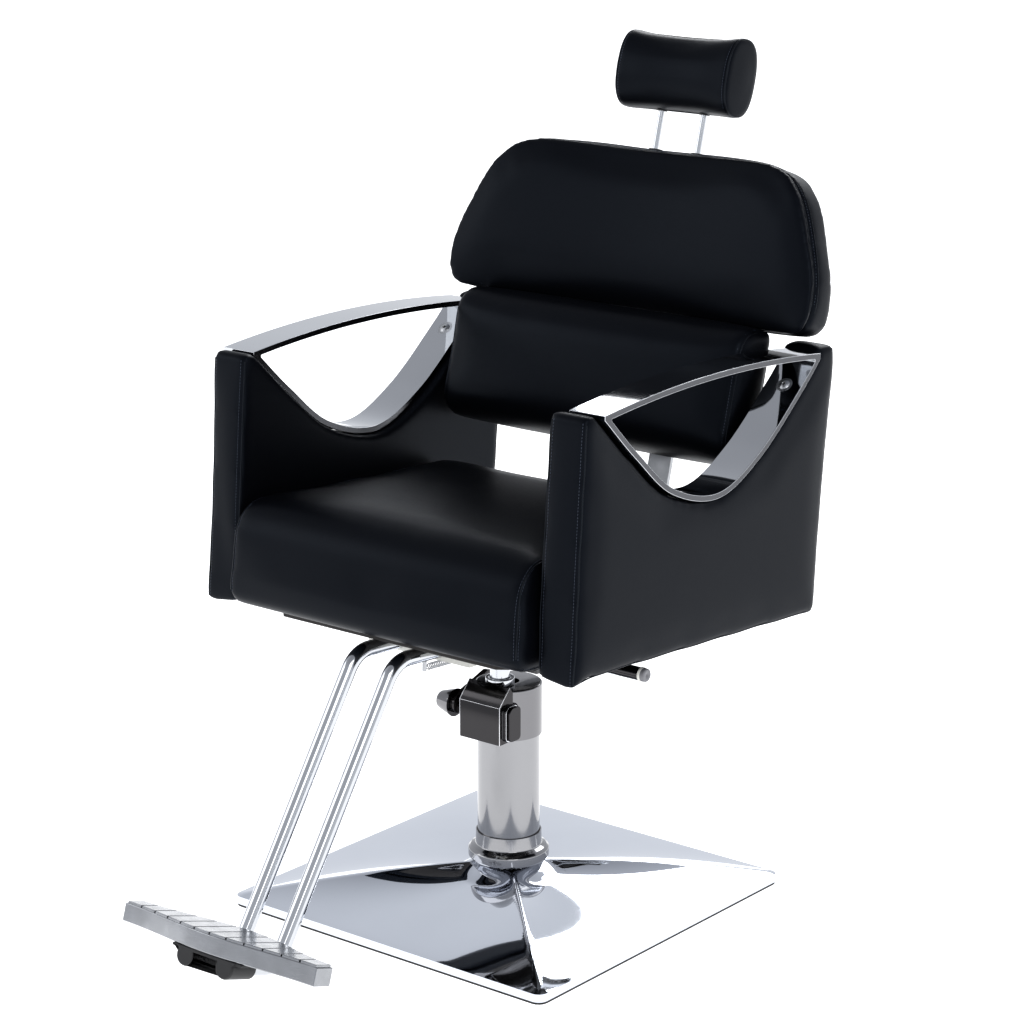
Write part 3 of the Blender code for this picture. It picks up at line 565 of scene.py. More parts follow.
def pipe(name: str, path: Sequence[Sequence[float]], radius: float, sides: int = 28,
         caps: bool = True) -> bpy.types.Object:
    """A round tube along a path, its rings carried along without twist.

    Args:
        name: The piece's name.
        path: The points of its centre line.
        radius: The tube's radius.
        sides: How many faces go round.
        caps: Whether its ends are closed.

    Returns:
        The tube.
    """
    points = [Vector(p) for p in path]
    tangents = [(points[min(i + 1, len(points) - 1)] - points[max(i - 1, 0)]).normalized()
                for i in range(len(points))]
    normal = tangents[0].orthogonal().normalized()
    work = bmesh.new()
    rings = []
    for i, (point, tangent) in enumerate(zip(points, tangents)):
        if i:
            normal = (normal - tangent * normal.dot(tangent)).normalized()
        across = tangent.cross(normal)
        rings.append([work.verts.new(point + radius * (math.cos(a) * normal + math.sin(a) * across))
                      for a in (2 * math.pi * k / sides for k in range(sides))])
    for low, high in zip(rings, rings[1:]):
        for k in range(sides):
            j = (k + 1) % sides
            work.faces.new((low[k], low[j], high[j], high[k]))
    if caps:
        work.faces.new(rings[0][::-1])
        work.faces.new(rings[-1])
    return as_object(name, work, 50.0)


def plate(name: str, outlines: Sequence[Sequence[Point2]], low: float, high: float, plane: str = "YZ",
          at: Matrix = Matrix.Identity(4), bevel: float = 0.0, segments: int = 3) -> bpy.types.Object:
    """A flat piece cut to closed outlines, between two depths along the third axis.

    Args:
        name: The piece's name.
        outlines: The edge first, and then any holes in it.
        low: The lower depth.
        high: The upper depth.
        plane: "YZ", "XZ" or "XY"; the depth runs along the remaining axis.
        at: The frame that the outline is drawn in.
        bevel: The width of its rounded edges.
        segments: Faces across each rounded edge.

    Returns:
        The piece as a plain mesh.
    """
    curve = bpy.data.curves.new(name, "CURVE")
    curve.dimensions = "2D"
    curve.fill_mode = "BOTH"
    curve.extrude = (high - low) / 2
    for outline in outlines:
        line = curve.splines.new("POLY")
        line.points.add(len(outline) - 1)
        for knot, (u, v) in zip(line.points, outline):
            knot.co = (u, v, 0, 1)
        line.use_cyclic_u = True
    made = bpy.data.objects.new(name, curve)
    bpy.context.scene.collection.objects.link(made)
    middle = (low + high) / 2
    if plane == "YZ":
        turn = Matrix.Translation((middle, 0, 0)) @ Matrix(((0, 0, 1), (1, 0, 0), (0, 1, 0))).to_4x4()
    elif plane == "XZ":
        turn = Matrix.Translation((0, middle, 0)) @ Matrix(((1, 0, 0), (0, 0, -1), (0, 1, 0))).to_4x4()
    else:
        turn = Matrix.Translation((0, 0, middle))
    made.matrix_world = at @ turn
    made = applied(made)
    work = bmesh.new()
    work.from_mesh(made.data)
    bmesh.ops.remove_doubles(work, verts=work.verts, dist=1e-6)
    bmesh.ops.recalc_face_normals(work, faces=work.faces)
    bmesh.ops.dissolve_limit(work, angle_limit=0.002, verts=work.verts, edges=work.edges)
    work.to_mesh(made.data)
    work.free()
    if bevel:
        edge = made.modifiers.new("rounded", "BEVEL")
        edge.width = bevel
        edge.segments = segments
        edge.angle_limit = math.radians(50)
        if "sharp_edge" in made.data.attributes:
            made.data.attributes.remove(made.data.attributes["sharp_edge"])
        even_light = made.modifiers.new("even_light", "WEIGHTED_NORMAL")
        even_light.weight = 90
        made = applied(made, None)
    return made


def block(name: str, low: Point3, high: Point3, bevel: float = 0.001,
          at: Matrix = Matrix.Identity(4)) -> bpy.types.Object:
    """A block between two corners of a frame, its edges rounded."""
    outline = [(low[0], low[1]), (high[0], low[1]), (high[0], high[1]), (low[0], high[1])]
    return plate(name, [outline], low[2], high[2], "XY", at, bevel)


def joined(name: str, things: Sequence[bpy.types.Object]) -> bpy.types.Object:
    """Several plain meshes as one object that keeps their materials."""
    with bpy.context.temp_override(active_object=things[0], selected_editable_objects=list(things)):
        bpy.ops.object.join()
    things[0].name = name
    return things[0]


# ------------------------------------------------------------------------------ upholstery
@dataclass(frozen=True)
class Stuffing:
    """How a pad is filled: a cloth cover blown out from a slightly small shape.

    Attributes:
        voxel: Size of the mesh that the cover is simulated on.
        cap: The furthest that a point of the cover may move.
        pressure: Pressure inside the cover.
        frames: Steps of the simulation.
        relax: Rounds of smoothing that take the steps out of the mesh first.
        rounds: Rounds of evening that take the ripples out of the blown cover.
    """

    voxel: float = 0.006
    cap: float = 0.008
    pressure: float = 4.0
    frames: int = 20
    relax: int = 6
    rounds: int = 14

    def remesh(self, thing: bpy.types.Object) -> bpy.types.Object:
        """Give a shape an even mesh with soft edges."""
        grid = thing.modifiers.new("grid", "REMESH")
        grid.mode = "VOXEL"
        grid.voxel_size = self.voxel
        ease = thing.modifiers.new("ease", "SMOOTH")
        ease.iterations = self.relax
        ease.factor = 0.5
        return applied(thing, 180.0)

    def calm(self, mesh: bpy.types.Mesh, moves: Sequence[Vector]) -> list[Vector]:
        """Even out the cover's moves, so that tight leather shows no ripples.

        Args:
            mesh: The cover's mesh.
            moves: How far each of its points moves.

        Returns:
            The evened moves.
        """
        near = [[i] for i in range(len(mesh.vertices))]
        for edge in mesh.edges:
            a, b = edge.vertices
            near[a].append(b)
            near[b].append(a)
        for _ in range(self.rounds):
            moves = [sum((moves[j] for j in around), Vector()) / len(around) for around in near]
        return moves

    def inflate(self, thing: bpy.types.Object, held: Callable[[Vector], bool]) -> bpy.types.Object:
        """Blow the cover out, then finish it with one subdivision.

        Args:
            thing: The remeshed shape.
            held: Tells whether a point is glued down.

        Returns:
            The stuffed pad.
        """
        start = [v.co.copy() for v in thing.data.vertices]
        group = thing.vertex_groups.new(name="held")
        group.add([v.index for v in thing.data.vertices if held(v.co)], 1.0, "REPLACE")
        cloth = thing.modifiers.new("cover", "CLOTH")
        cloth.settings.use_pressure = True
        cloth.settings.uniform_pressure_force = self.pressure
        cloth.settings.tension_stiffness = 25
        cloth.settings.compression_stiffness = 25
        cloth.settings.bending_stiffness = 2.0
        cloth.settings.effector_weights.gravity = 0.0
        cloth.settings.vertex_group_mass = "held"
        cloth.point_cache.frame_start = 1
        cloth.point_cache.frame_end = self.frames
        scene = bpy.context.scene
        for frame in range(1, self.frames + 1):
            scene.frame_set(frame)
        graph = bpy.context.evaluated_depsgraph_get()
        blown = [v.co.copy() for v in thing.evaluated_get(graph).data.vertices]
        thing.modifiers.remove(cloth)
        thing.vertex_groups.clear()
        scene.frame_set(1)
        moves = [new - old for old, new in zip(start, blown)]
        moves = [move * min(1.0, self.cap / max(move.length, 1e-9)) for move in moves]
        for vert, old, move in zip(thing.data.vertices, start, self.calm(thing.data, moves)):
            vert.co = old + move
        if len(thing.data.polygons) < 24000:
            fine = thing.modifiers.new("fine", "SUBSURF")
            fine.levels = 1
            fine.render_levels = 1
            thing = applied(thing, 180.0)
        return thing


def reshape(thing: bpy.types.Object, frame: Tilted, rule: Callable[[Vector], Vector]) -> bpy.types.Object:
    """Move a mesh's points by a rule that is written in a frame.

    Args:
        thing: The mesh.
        frame: The frame that the rule works in.
        rule: Gives a point's new place.

    Returns:
        The same object.
    """
    there = frame.matrix
    back = there.inverted()
    for vert in thing.data.vertices:
        vert.co = there @ rule(back @ vert.co)
    return thing


class Surface:
    """A finished surface that seams and stitches are laid on."""

    def __init__(self, *things: bpy.types.Object) -> None:
        """Read the surface of some plain meshes.

        Args:
            things: The meshes, which don't change afterwards.
        """
        work = bmesh.new()
        for thing in things:
            work.from_mesh(thing.data)
        self.tree = BVHTree.FromBMesh(work)
        work.free()

    def drape(self, path: Iterable[Sequence[float]], lift: float) -> list[Vector]:
        """Lay a path on the surface.

        Args:
            path: Points near the surface.
            lift: How far the path stands off it.

        Returns:
            The points on the surface.
        """
        laid = []
        for point in path:
            spot, normal, _, _ = self.tree.find_nearest(Vector(point))
            laid.append(spot + normal * lift)
        return laid


def even(path: Sequence[Sequence[float]], pitch: float, closed: bool = False) -> list[Vector]:
    """A path's points, spaced evenly along it.

    Args:
        path: The path.
        pitch: The distance between points.
        closed: Whether the path comes back to its start.

    Returns:
        The new points.
    """
    points = [Vector(p) for p in path]
    if closed:
        points.append(points[0])
    lengths = [(b - a).length for a, b in zip(points, points[1:])]
    total = sum(lengths)
    count = max(2, round(total / pitch))
    made, walked, leg = [], 0.0, 0
    for i in range(count + 1):
        target = total * i / count
        while leg < len(lengths) - 1 and walked + lengths[leg] < target:
            walked += lengths[leg]
            leg += 1
        share = (target - walked) / max(lengths[leg], 1e-12)
        made.append(points[leg].lerp(points[leg + 1], min(1.0, share)))
    return made


def ease(path: Sequence[Vector], rounds: int = 3) -> list[Vector]:
    """Smooth a draped path, its ends held."""
    points = list(path)
    for _ in range(rounds):
        points = [points[0], *[(a + 2 * b + c) / 4 for a, b, c in zip(points, points[1:], points[2:])], points[-1]]
    return points


class Repeater:
    """Geometry Nodes trees that lay a repeated shape along paths, and turn the result into a mesh."""

    def __init__(self, name: str, sizes: dict[str, float]) -> None:
        """Start a tree with named inputs.

        Args:
            name: The tree's name.
            sizes: The inputs' names and values.
        """
        self.tree = bpy.data.node_groups.new(name, "GeometryNodeTree")
        self.tree.interface.new_socket("Geometry", in_out="INPUT", socket_type="NodeSocketGeometry")
        self.tree.interface.new_socket("Geometry", in_out="OUTPUT", socket_type="NodeSocketGeometry")
        self.sizes = sizes
        self.keys = {}
        for label in sizes:
            made = self.tree.interface.new_socket(label, in_out="INPUT", socket_type="NodeSocketFloat")
            self.keys[label] = made.identifier
        self.start = self.tree.nodes.new("NodeGroupInput")
        self.end = self.tree.nodes.new("NodeGroupOutput")

    def add(self, kind: str, inputs: dict[int | str, object] | None = None,
            **settings: object) -> bpy.types.Node:
        """Add a node; a node or socket among the inputs is linked."""
        node = self.tree.nodes.new(kind)
        for key, value in settings.items():
            setattr(node, key, value)
        for key, value in (inputs or {}).items():
            if isinstance(value, bpy.types.Node):
                self.tree.links.new(value.outputs[0], node.inputs[key])
            elif isinstance(value, bpy.types.NodeSocket):
                self.tree.links.new(value, node.inputs[key])
            else:
                node.inputs[key].default_value = value
        return node

    def run(self, name: str, source: bpy.types.Object, last: bpy.types.Node,
            finish: Finish) -> bpy.types.Object:
        """Close the tree, run it on an object and make the result a plain mesh.

        Args:
            name: The new piece's name.
            source: The object that the tree works on, which is used up.
            last: The tree's last shape.
            finish: The finish of the new piece.

        Returns:
            The piece.
        """
        real = self.add("GeometryNodeRealizeInstances", {0: last})
        paint = self.add("GeometryNodeSetMaterial", {0: real, "Material": finish.build()})
        self.tree.links.new(paint.outputs[0], self.end.inputs[0])
        source.name = name
        way = source.modifiers.new("repeat", "NODES")
        way.node_group = self.tree
        for label, value in self.sizes.items():
            way[self.keys[label]] = value
        return applied(source, 60.0)


def as_curve(name: str, paths: Sequence[Sequence[Vector]]) -> bpy.types.Object:
    """Several open paths as one curve object."""
    curve = bpy.data.curves.new(name, "CURVE")
    curve.dimensions = "3D"
    for path in paths:
        line = curve.splines.new("POLY")
        line.points.add(len(path) - 1)
        for knot, place in zip(line.points, path):
            knot.co = (*place, 1)
    made = bpy.data.objects.new(name, curve)
    bpy.context.scene.collection.objects.link(made)
    return made


def stitches(name: str, paths: Sequence[Sequence[Vector]], pitch: float = 0.0042) -> bpy.types.Object:
    """Rows of topstitching along paths.

    Args:
        name: The piece's name.
        paths: The rows, already laid on the surface.
        pitch: The distance from stitch to stitch.

    Returns:
        Every stitch as one mesh.
    """
    nodes = Repeater(name + "_rule", {"Pitch": pitch, "Length": 0.0030, "Thread": 0.00042})
    inputs = nodes.start.outputs
    spaced = nodes.add("GeometryNodeCurveToPoints", {0: inputs[0], "Length": inputs["Pitch"]}, mode="LENGTH")
    bead = nodes.add("GeometryNodeMeshUVSphere", {"Segments": 6, "Rings": 4, "Radius": 1.0})
    size = nodes.add("ShaderNodeCombineXYZ", {0: inputs["Thread"], 1: inputs["Thread"], 2: inputs["Length"]})
    half = nodes.add("ShaderNodeVectorMath", {0: size, 1: (1.0, 1.0, 0.5)}, operation="MULTIPLY")
    laid = nodes.add("GeometryNodeInstanceOnPoints",
                     {"Points": spaced, "Instance": bead, "Rotation": spaced.outputs["Rotation"], "Scale": half})
    return nodes.run(name, as_curve(name, paths), laid, THREAD)


# ------------------------------------------------------------------------------ assembly
class Assembly:
    """What every sub-assembly does with its pieces: dress them, hang them and report them."""

    body: str = "base"

    def fit(self, piece: bpy.types.Object, finish: Finish, *nodes: str, body: str = "") -> bpy.types.Object:
        """Dress a piece, hang it on its body and let it stand for frame nodes.

        Args:
            piece: The piece, in place.
            finish: Its finish.
            nodes: The frame nodes that it stands for.
            body: Its body, where that isn't the assembly's own.

        Returns:
            The piece.
        """
        piece.data.materials.clear()
        piece.data.materials.append(finish.build())
        return self.hang(piece, finish, *nodes, body=body)

    def hang(self, piece: bpy.types.Object, finish: Finish, *nodes: str, body: str = "") -> bpy.types.Object:
        """Hang a piece that already has its materials; see fit."""
        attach(piece, body or self.body)
        if nodes:
            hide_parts(*nodes)
        LOG.info("%s: %d faces in %s", piece.name, len(piece.data.polygons), finish.name)
        return piece

    def keep(self, frame: dict, finish: Finish, *nodes: str) -> None:
        """Show frame nodes as they are, in a better finish."""
        for name in nodes:
            for slot in frame["nodes"][name].material_slots:
                slot.material = finish.build()
            LOG.info("%s: kept in %s", name, finish.name)

    def seam(self, name: str, path: Sequence[Vector], radius: float = 0.0009,
             body: str = "") -> bpy.types.Object:
        """A narrow rolled seam along a draped path."""
        return self.fit(pipe(name, path, radius, 8), PIPING, body=body)


@dataclass
class Base(Assembly):
    """The square pressed plate, its underplate and the collar round the column."""

    body: str = "base"
    half: float = 0.275
    corner: float = 0.014
    rim: float = 0.0145
    crown: float = 0.052
    bottom: float = 0.0033
    skin: float = 0.0028
    socket: float = 0.0345
    cells: int = 120

    def height(self, x: float, y: float) -> float:
        """Height of the skin: four ridges, hollow faces and a flared centre.

        Args:
            x: Place across the plate.
            y: Place along the plate.

        Returns:
            The height above the floor.
        """
        wide, narrow = max(abs(x), abs(y)), min(abs(x), abs(y))
        far = wide / self.half
        rise = self.crown - self.rim
        ridge = self.rim + rise * (1 - far ** 1.8)
        face = self.rim + 0.70 * rise * max(0.0, 1 - far) ** 0.9
        height = face + (ridge - face) * (narrow / max(wide, 1e-9)) ** 2.5
        flare = min(1.0, max(0.0, (math.hypot(x, y) - self.socket) / 0.040))
        flare = flare * flare * (3 - 2 * flare)
        return self.crown + (height - self.crown) * flare

    def plate(self) -> bpy.types.Object:
        """The pressed skin with its turned-down rim."""
        work = bmesh.new()
        bmesh.ops.create_grid(work, x_segments=self.cells, y_segments=self.cells, size=self.half)
        inner = self.half - self.corner
        for vert in work.verts:
            x, y = vert.co.x, vert.co.y
            vert.co.z = self.height(x, y)
            if abs(x) > inner and abs(y) > inner:
                centre = Vector((math.copysign(inner, x), math.copysign(inner, y)))
                reach = max(abs(x) - inner, abs(y) - inner)
                out = (Vector((x, y)) - centre).normalized() * reach
                vert.co.x, vert.co.y = centre.x + out.x, centre.y + out.y
        drops = [(0.0006, 0.0006), (0.0014, 0.0), (0.0105, 0.0)]
        for drop, tuck in drops:
            rim = [e for e in work.edges if e.is_boundary]
            made = bmesh.ops.extrude_edge_only(work, edges=rim)["geom"]
            for vert in (v for v in made if isinstance(v, bmesh.types.BMVert)):
                vert.co.z -= drop
                vert.co.xy += vert.co.xy.normalized() * (0.0006 - tuck) * 0.2
        bottom = min(v.co.z for v in work.verts)
        for vert in work.verts:
            if vert.co.z < bottom + 0.0004:
                vert.co.z = self.bottom
        hole = [v for v in work.verts if math.hypot(v.co.x, v.co.y) < self.socket + 0.0005]
        bmesh.ops.delete(work, geom=hole, context="VERTS")
        bmesh.ops.recalc_face_normals(work, faces=work.faces)
        if sum(f.normal.z for f in work.faces) < 0:
            bmesh.ops.reverse_faces(work, faces=work.faces)
        made = as_object("base_skin", work)
        shell = made.modifiers.new("skin", "SOLIDIFY")
        shell.thickness = self.skin
        shell.offset = -1
        return applied(made, 50.0)

    def collar(self) -> bpy.types.Object:
        """The stepped trumpet collar."""
        neck = self.crown + 0.0012
        outside = rounded([(0.0462, 0.0980), (0.0468, 0.0790), (0.0530, 0.0760), (0.0570, 0.0722),
                           (0.0570, 0.0612), (0.0545, 0.0582), (0.0430, 0.0553), (0.0372, neck)],
                          0.0022, 4, closed=False)
        inside = [(0.0352, neck), (0.0352, 0.0562), (0.0445, 0.0573), (0.0445, 0.0980)]
        return lathe("collar", outside + inside)

    def build(self, frame: dict) -> None:
        """Make every piece of the base."""
        self.fit(self.plate(), BASE_CHROME, "base_plate")
        self.fit(self.collar(), SHADED_COLUMN_CHROME, "base_collar")
        self.keep(frame, RUBBER, "floor_gasket")
        self.keep(frame, ZINC, "pump_socket")
        self.keep(frame, NYLON_PALE, "thrust_washer")


@dataclass
class Pump(Assembly):
    """The column, the head with its valve box, and the pedal that works it."""

    body: str = "pump"
    column: float = 0.0437
    head: float = 0.0470
    head_low: float = 0.2435
    head_top: float = 0.3165
    box_half: float = 0.0355
    box_front: float = -0.0640
    ram_y: float = -0.0190
    hinge: Point2 = (0.0155, 0.3000)
    knob: Point2 = (-0.0450, 0.2840)
    rocker_x: float = -0.0542

    def head_shape(self) -> bpy.types.Object:
        """The rounded head with its wiper ring's seat."""
        outside = [(0.0150, self.head_top), (self.head, self.head_top), (self.head, self.head_low)]
        outside = rounded(outside, 0.0030, 5, closed=False)
        return lathe("head", [*outside, (0.0441, self.head_low), (0.0441, self.head_top - 0.004),
                              (0.0150, self.head_top - 0.004)])

    def valve_box(self) -> None:
        """The sloped box, painted highlights along its edges, and the cap on its side with a painted highlight round
        it.
        """
        rear = self.box_front + 0.030
        outline = [(self.box_front, 0.2450), (rear, 0.2450), (rear, 0.3165), (-0.0415, 0.3240),
                   (self.box_front, 0.2995)]
        box = plate("valve_box_shape", [outline], -self.box_half, self.box_half, bevel=0.0012, segments=2)
        self.notch(box)
        self.fit(box, BLACK_CHROME, "valve_box")
        # Thin bright strips along the box's edges: painted highlights.
        edges = []
        for sign in (-1, 1):
            x = sign * (self.box_half - 0.0002)
            edges.append(pipe(f"box_edge_{sign}", [(x, -0.0417, 0.3237), (x, -0.0638, 0.2994), (x, -0.0638, 0.2456)],
                              0.00055, 8))
        edges.append(pipe("box_edge_front", [(-self.box_half + 0.001, -0.0638, 0.2994),
                                             (self.box_half - 0.001, -0.0638, 0.2994)], 0.00045, 8))
        self.fit(joined("bright_edges", edges), PAINTED_EDGE_HIGHLIGHT)
        # The lower cap layer shows only as a bright rim round the black cap: a painted highlight.
        for k, x in enumerate((self.box_half + 0.0002, self.box_half + 0.0044)):
            inset = 0.0012 * k
            cap = rounded([(-0.0545 + inset, 0.2478 + inset), (-0.0292, 0.2478 + inset),
                           (-0.0292, 0.2985 - inset), (-0.0475, 0.2985 - inset), (-0.0545 + inset, 0.2925 - inset)],
                          0.0070, 5)
            piece = plate(f"side_cap_{k}", [cap], x, x + 0.0040 + 0.0012 * k, bevel=0.0006, segments=2)
            self.fit(piece, PAINTED_EDGE_HIGHLIGHT if k == 0 else BLACK_CHROME)

    def notch(self, box: bpy.types.Object) -> None:
        """Hollow the box's back to the head and the wiper ring."""
        room, under_box, over_box, ring_radius = 0.0002, 0.20, 0.36, 0.0209
        for name, y, radius, low, high in (
                ("head_room", 0.0, self.head + room, under_box, self.head_top + room),
                ("ring_room", self.ram_y, ring_radius, self.head_top, over_box)):
            tool = lathe(name, [(0, high), (radius, high), (radius, low), (0, low)],
                         Matrix.Translation((0, y, 0)), 64)
            cut = box.modifiers.new(name, "BOOLEAN")
            cut.object = tool
            cut.solver = "EXACT"
            cut.operation = "DIFFERENCE"
            graph = bpy.context.evaluated_depsgraph_get()
            mesh = bpy.data.meshes.new_from_object(box.evaluated_get(graph))
            box.modifiers.remove(cut)
            box.data = mesh
            bpy.data.objects.remove(tool, do_unlink=True)

    def pedal(self) -> None:
        """The rocker, its knob, and the arm down to the ribbed tread."""
        y, z = self.hinge
        ky, kz = self.knob
        turn = math.degrees(math.atan2(kz - z, ky - y))
        outline = (arc((y, z), 0.0180, turn + 98, turn + 262, 28) + arc((ky, kz), 0.0140, turn - 82, turn + 82, 20))
        rocker = plate("rocker", [outline], self.rocker_x - 0.0040, self.rocker_x + 0.0040, bevel=0.0012)
        shaft = lathe("rocker_shaft",
                      [(0, 0.0620), (0.0080, 0.0620), (0.0090, 0.0612), (0.0090, 0.0470), (0, 0.0470)],
                      Matrix.Translation((0, y, z)) @ Matrix.Rotation(-math.pi / 2, 4, "Y"), 48)
        self.fit(joined("rocker", [rocker, shaft]), BLACK_CHROME, "pedal_rocker", body="pedal")
        profile = [(0, 0.0290), *rounded([(0.0001, 0.0290), (0.0118, 0.0278), (0.0196, 0.0020), (0.0200, 0.0)],
                                         0.0080, 8, closed=False), (0, 0.0)]
        knob = lathe("knob", profile, Matrix.Translation((self.rocker_x - 0.0043, ky, kz))
                     @ Matrix.Rotation(-math.pi / 2, 4, "Y"))
        self.fit(knob, HEAD_CHROME, "pedal_knob", body="pedal")
        away = Vector((-0.6276, 0.7785, 0))
        end = Vector((-0.176, 0.206, 0.130))
        hub = Vector((0, y, z))
        route = [(self.rocker_x, 0.0196, -0.001), (-0.0575, 0.0345, -0.008), (-0.075, 0.0645, -0.038),
                 (-0.112, 0.1145, -0.105), (-0.150, 0.1605, -0.154)]
        path = [Vector(p) + hub for p in route] + [end, end + away * 0.012]
        self.fit(pipe("arm_rod", smooth(path, 12), 0.0060), CHROME, "pedal_arm", body="pedal")
        middle = end + away * 0.041
        at = Matrix.Translation(middle) @ Matrix.Rotation(math.atan2(-away.x, away.y), 4, "Z")
        tread = block("tread", (-0.034, -0.026, -0.0105), (0.034, 0.026, 0.0095), 0.004, at)
        ribs = Repeater("rib_rule", {"Pitch": 0.0062, "Width": 0.0030, "Length": 0.058, "Height": 0.0024})
        inputs = ribs.start.outputs
        spaced = ribs.add("GeometryNodeCurveToPoints", {0: inputs[0], "Length": inputs["Pitch"]}, mode="LENGTH")
        size = ribs.add("ShaderNodeCombineXYZ", {0: inputs["Length"], 1: inputs["Width"], 2: inputs["Height"]})
        bar = ribs.add("GeometryNodeMeshCube", {"Size": size})
        spin = (0.0, 0.0, math.atan2(-away.x, away.y))
        laid = ribs.add("GeometryNodeInstanceOnPoints", {"Points": spaced, "Instance": bar, "Rotation": spin})
        row = [middle + away * (-0.0215) + Vector((0, 0, 0.0098)), middle + away * 0.0215 + Vector((0, 0, 0.0098))]
        grip = ribs.run("tread_ribs", as_curve("tread_ribs", [row]), laid, RUBBER)
        self.fit(tread, RUBBER, "pedal_tread", body="pedal")
        self.hang(grip, RUBBER, body="pedal")

    def build(self, frame: dict) -> None:
        """Make every piece of the pump."""
        tube = lathe("column", [(self.column, 0.2700), (self.column, 0.0643), (self.column - 0.002, 0.0643),
                                (self.column - 0.002, 0.2700)], sides=128)
        self.fit(tube, SHADED_COLUMN_CHROME, "column_tube")
        self.fit(self.head_shape(), HEAD_CHROME, "pump_head")
        wiper = rounded([(0.0205, self.head_top + 0.0003), (0.0143, self.head_top + 0.0003),
                         (0.0143, self.head_top + 0.0110), (0.0205, self.head_top + 0.0110)], 0.0012, 3)
        self.fit(lathe("wiper", wiper, Matrix.Translation((0, self.ram_y, 0))), CHROME, "wiper_ring")
        self.valve_box()
        self.pedal()
        self.keep(frame, ZINC, "pump_spigot", "pump_cylinder", "pump_plunger")


@dataclass
class SeatFrame(Assembly):
    """The ram, the steel frame and the boards under the seat."""

    body: str = "seat"
    ram_y: float = -0.0190

    def build(self, frame: dict) -> None:
        """Make or dress every piece of the seat's frame."""
        ram = rounded([(0.0139, 0.3893), (0.0139, 0.1010), (0.0161, 0.1000), (0.0161, 0.0870)], 0.0004, 2, closed=False)
        at = Matrix.Translation((0, self.ram_y, 0))
        self.fit(lathe("ram_rod", [(0, 0.3893), *ram, (0, 0.0870)], at), CHROME, "ram")
        hub = rounded([(0.0240, 0.3895), (0.0270, 0.3700), (0.0270, 0.3560), (0.0142, 0.3560), (0.0142, 0.3895)],
                      0.0012, 3)
        self.fit(lathe("hub", hub, at), ENAMEL, "seat_hub")
        half, front, rear, nip = 0.2150, -0.2560, 0.1650, 0.0300
        edge = rounded([(-half, rear), (-half, front + nip), (-half + nip, front), (half - nip, front),
                        (half, front + nip), (half, rear)], 0.006, 4)
        board = plate("cushion_board", [edge], -0.0108, -0.0003, "XY", SEAT.matrix, 0.0015)
        self.fit(board, STAINED_PLY, "seat_board")
        self.keep(frame, ENAMEL, "seat_subframe", "strut_cylinder")
        self.keep(frame, NYLON_PALE, "tube_guide_front", "tube_guide_rear")
        self.keep(frame, ZINC, "recline_pivot", "lever_pin", "spring_anchor")


@dataclass
class SeatCushion(Assembly):
    """The thick seat cushion with its bull-nosed front and boxed sides."""

    body: str = "seat"
    half: float = 0.2525
    front: float = -0.2960
    rear: float = 0.1625
    thick: float = 0.1460
    nose: float = 0.052
    crown: float = 0.0075
    stuffing: Stuffing = field(default_factory=lambda: Stuffing(0.0075, 0.006, 3.0))

    def profile(self, grow: float = 0.0) -> list[Point2]:
        """The cushion's side view, from the front's foot over the top to the rear.

        Args:
            grow: How far it is moved outwards.

        Returns:
            A closed outline in the seat's frame.
        """
        lower = (arc((self.rear - 0.006, 0.0075), 0.006 + grow, 0, -90, 4)
                 + arc((self.front + 0.020, 0.0215), 0.020 + grow, 270, 180, 8))
        nose = arc((self.front + self.nose, self.thick - self.nose), self.nose + grow, 180, 90, 16)
        tail = arc((self.rear - 0.024, self.thick - 0.024), 0.024 + grow, 90, 0, 8)
        return nose + tail + lower

    def swell(self, point: Vector) -> Vector:
        """Raise the crown and round the front of the cushion."""
        across = max(0.0, 1 - (point.x / 0.2565) ** 2)
        along = max(0.0, 1 - ((point.y + 0.08) / 0.26) ** 2)
        up = min(1.0, max(0.0, (point.z - 0.09) / 0.05))
        point.z += self.crown * up * across * (0.35 + 0.65 * along)
        if point.y < -0.24:
            point.y -= 0.004 * across * max(0.0, 1 - ((point.z - 0.075) / 0.085) ** 2)
        return point

    def build(self, frame: dict) -> None:
        """Make the cushion, its seams and its topstitching."""
        shape = plate("cushion_shape", [self.profile()], -self.half, self.half, at=SEAT.matrix, bevel=0.009)
        pad = reshape(self.stuffing.remesh(shape), SEAT, self.swell)
        pad.name = "cushion"
        inverse = SEAT.matrix.inverted()
        pad = self.stuffing.inflate(pad, lambda p: (inverse @ p).z < 0.010)
        skin = Surface(pad)
        self.fit(pad, LEATHER, "seat_cushion")
        outline = self.profile(0.004)
        run = outline[-1:] + outline[:-6]
        rows = []
        for side in Side:
            path = even([SEAT.place((side.value * (self.half + 0.0015), y, z)) for y, z in run], 0.006)
            self.seam(f"cushion_seam_{side.word}", ease(skin.drape(path, 0.0002)), 0.0012)
            for inset in (0.0085, -0.0045):
                path = even([SEAT.place((side.value * (self.half + 0.0015 - inset), y, z)) for y, z in run], 0.006)
                rows.append(ease(skin.drape(path, 0.0003)))
        self.hang(stitches("cushion_stitching", rows), THREAD)


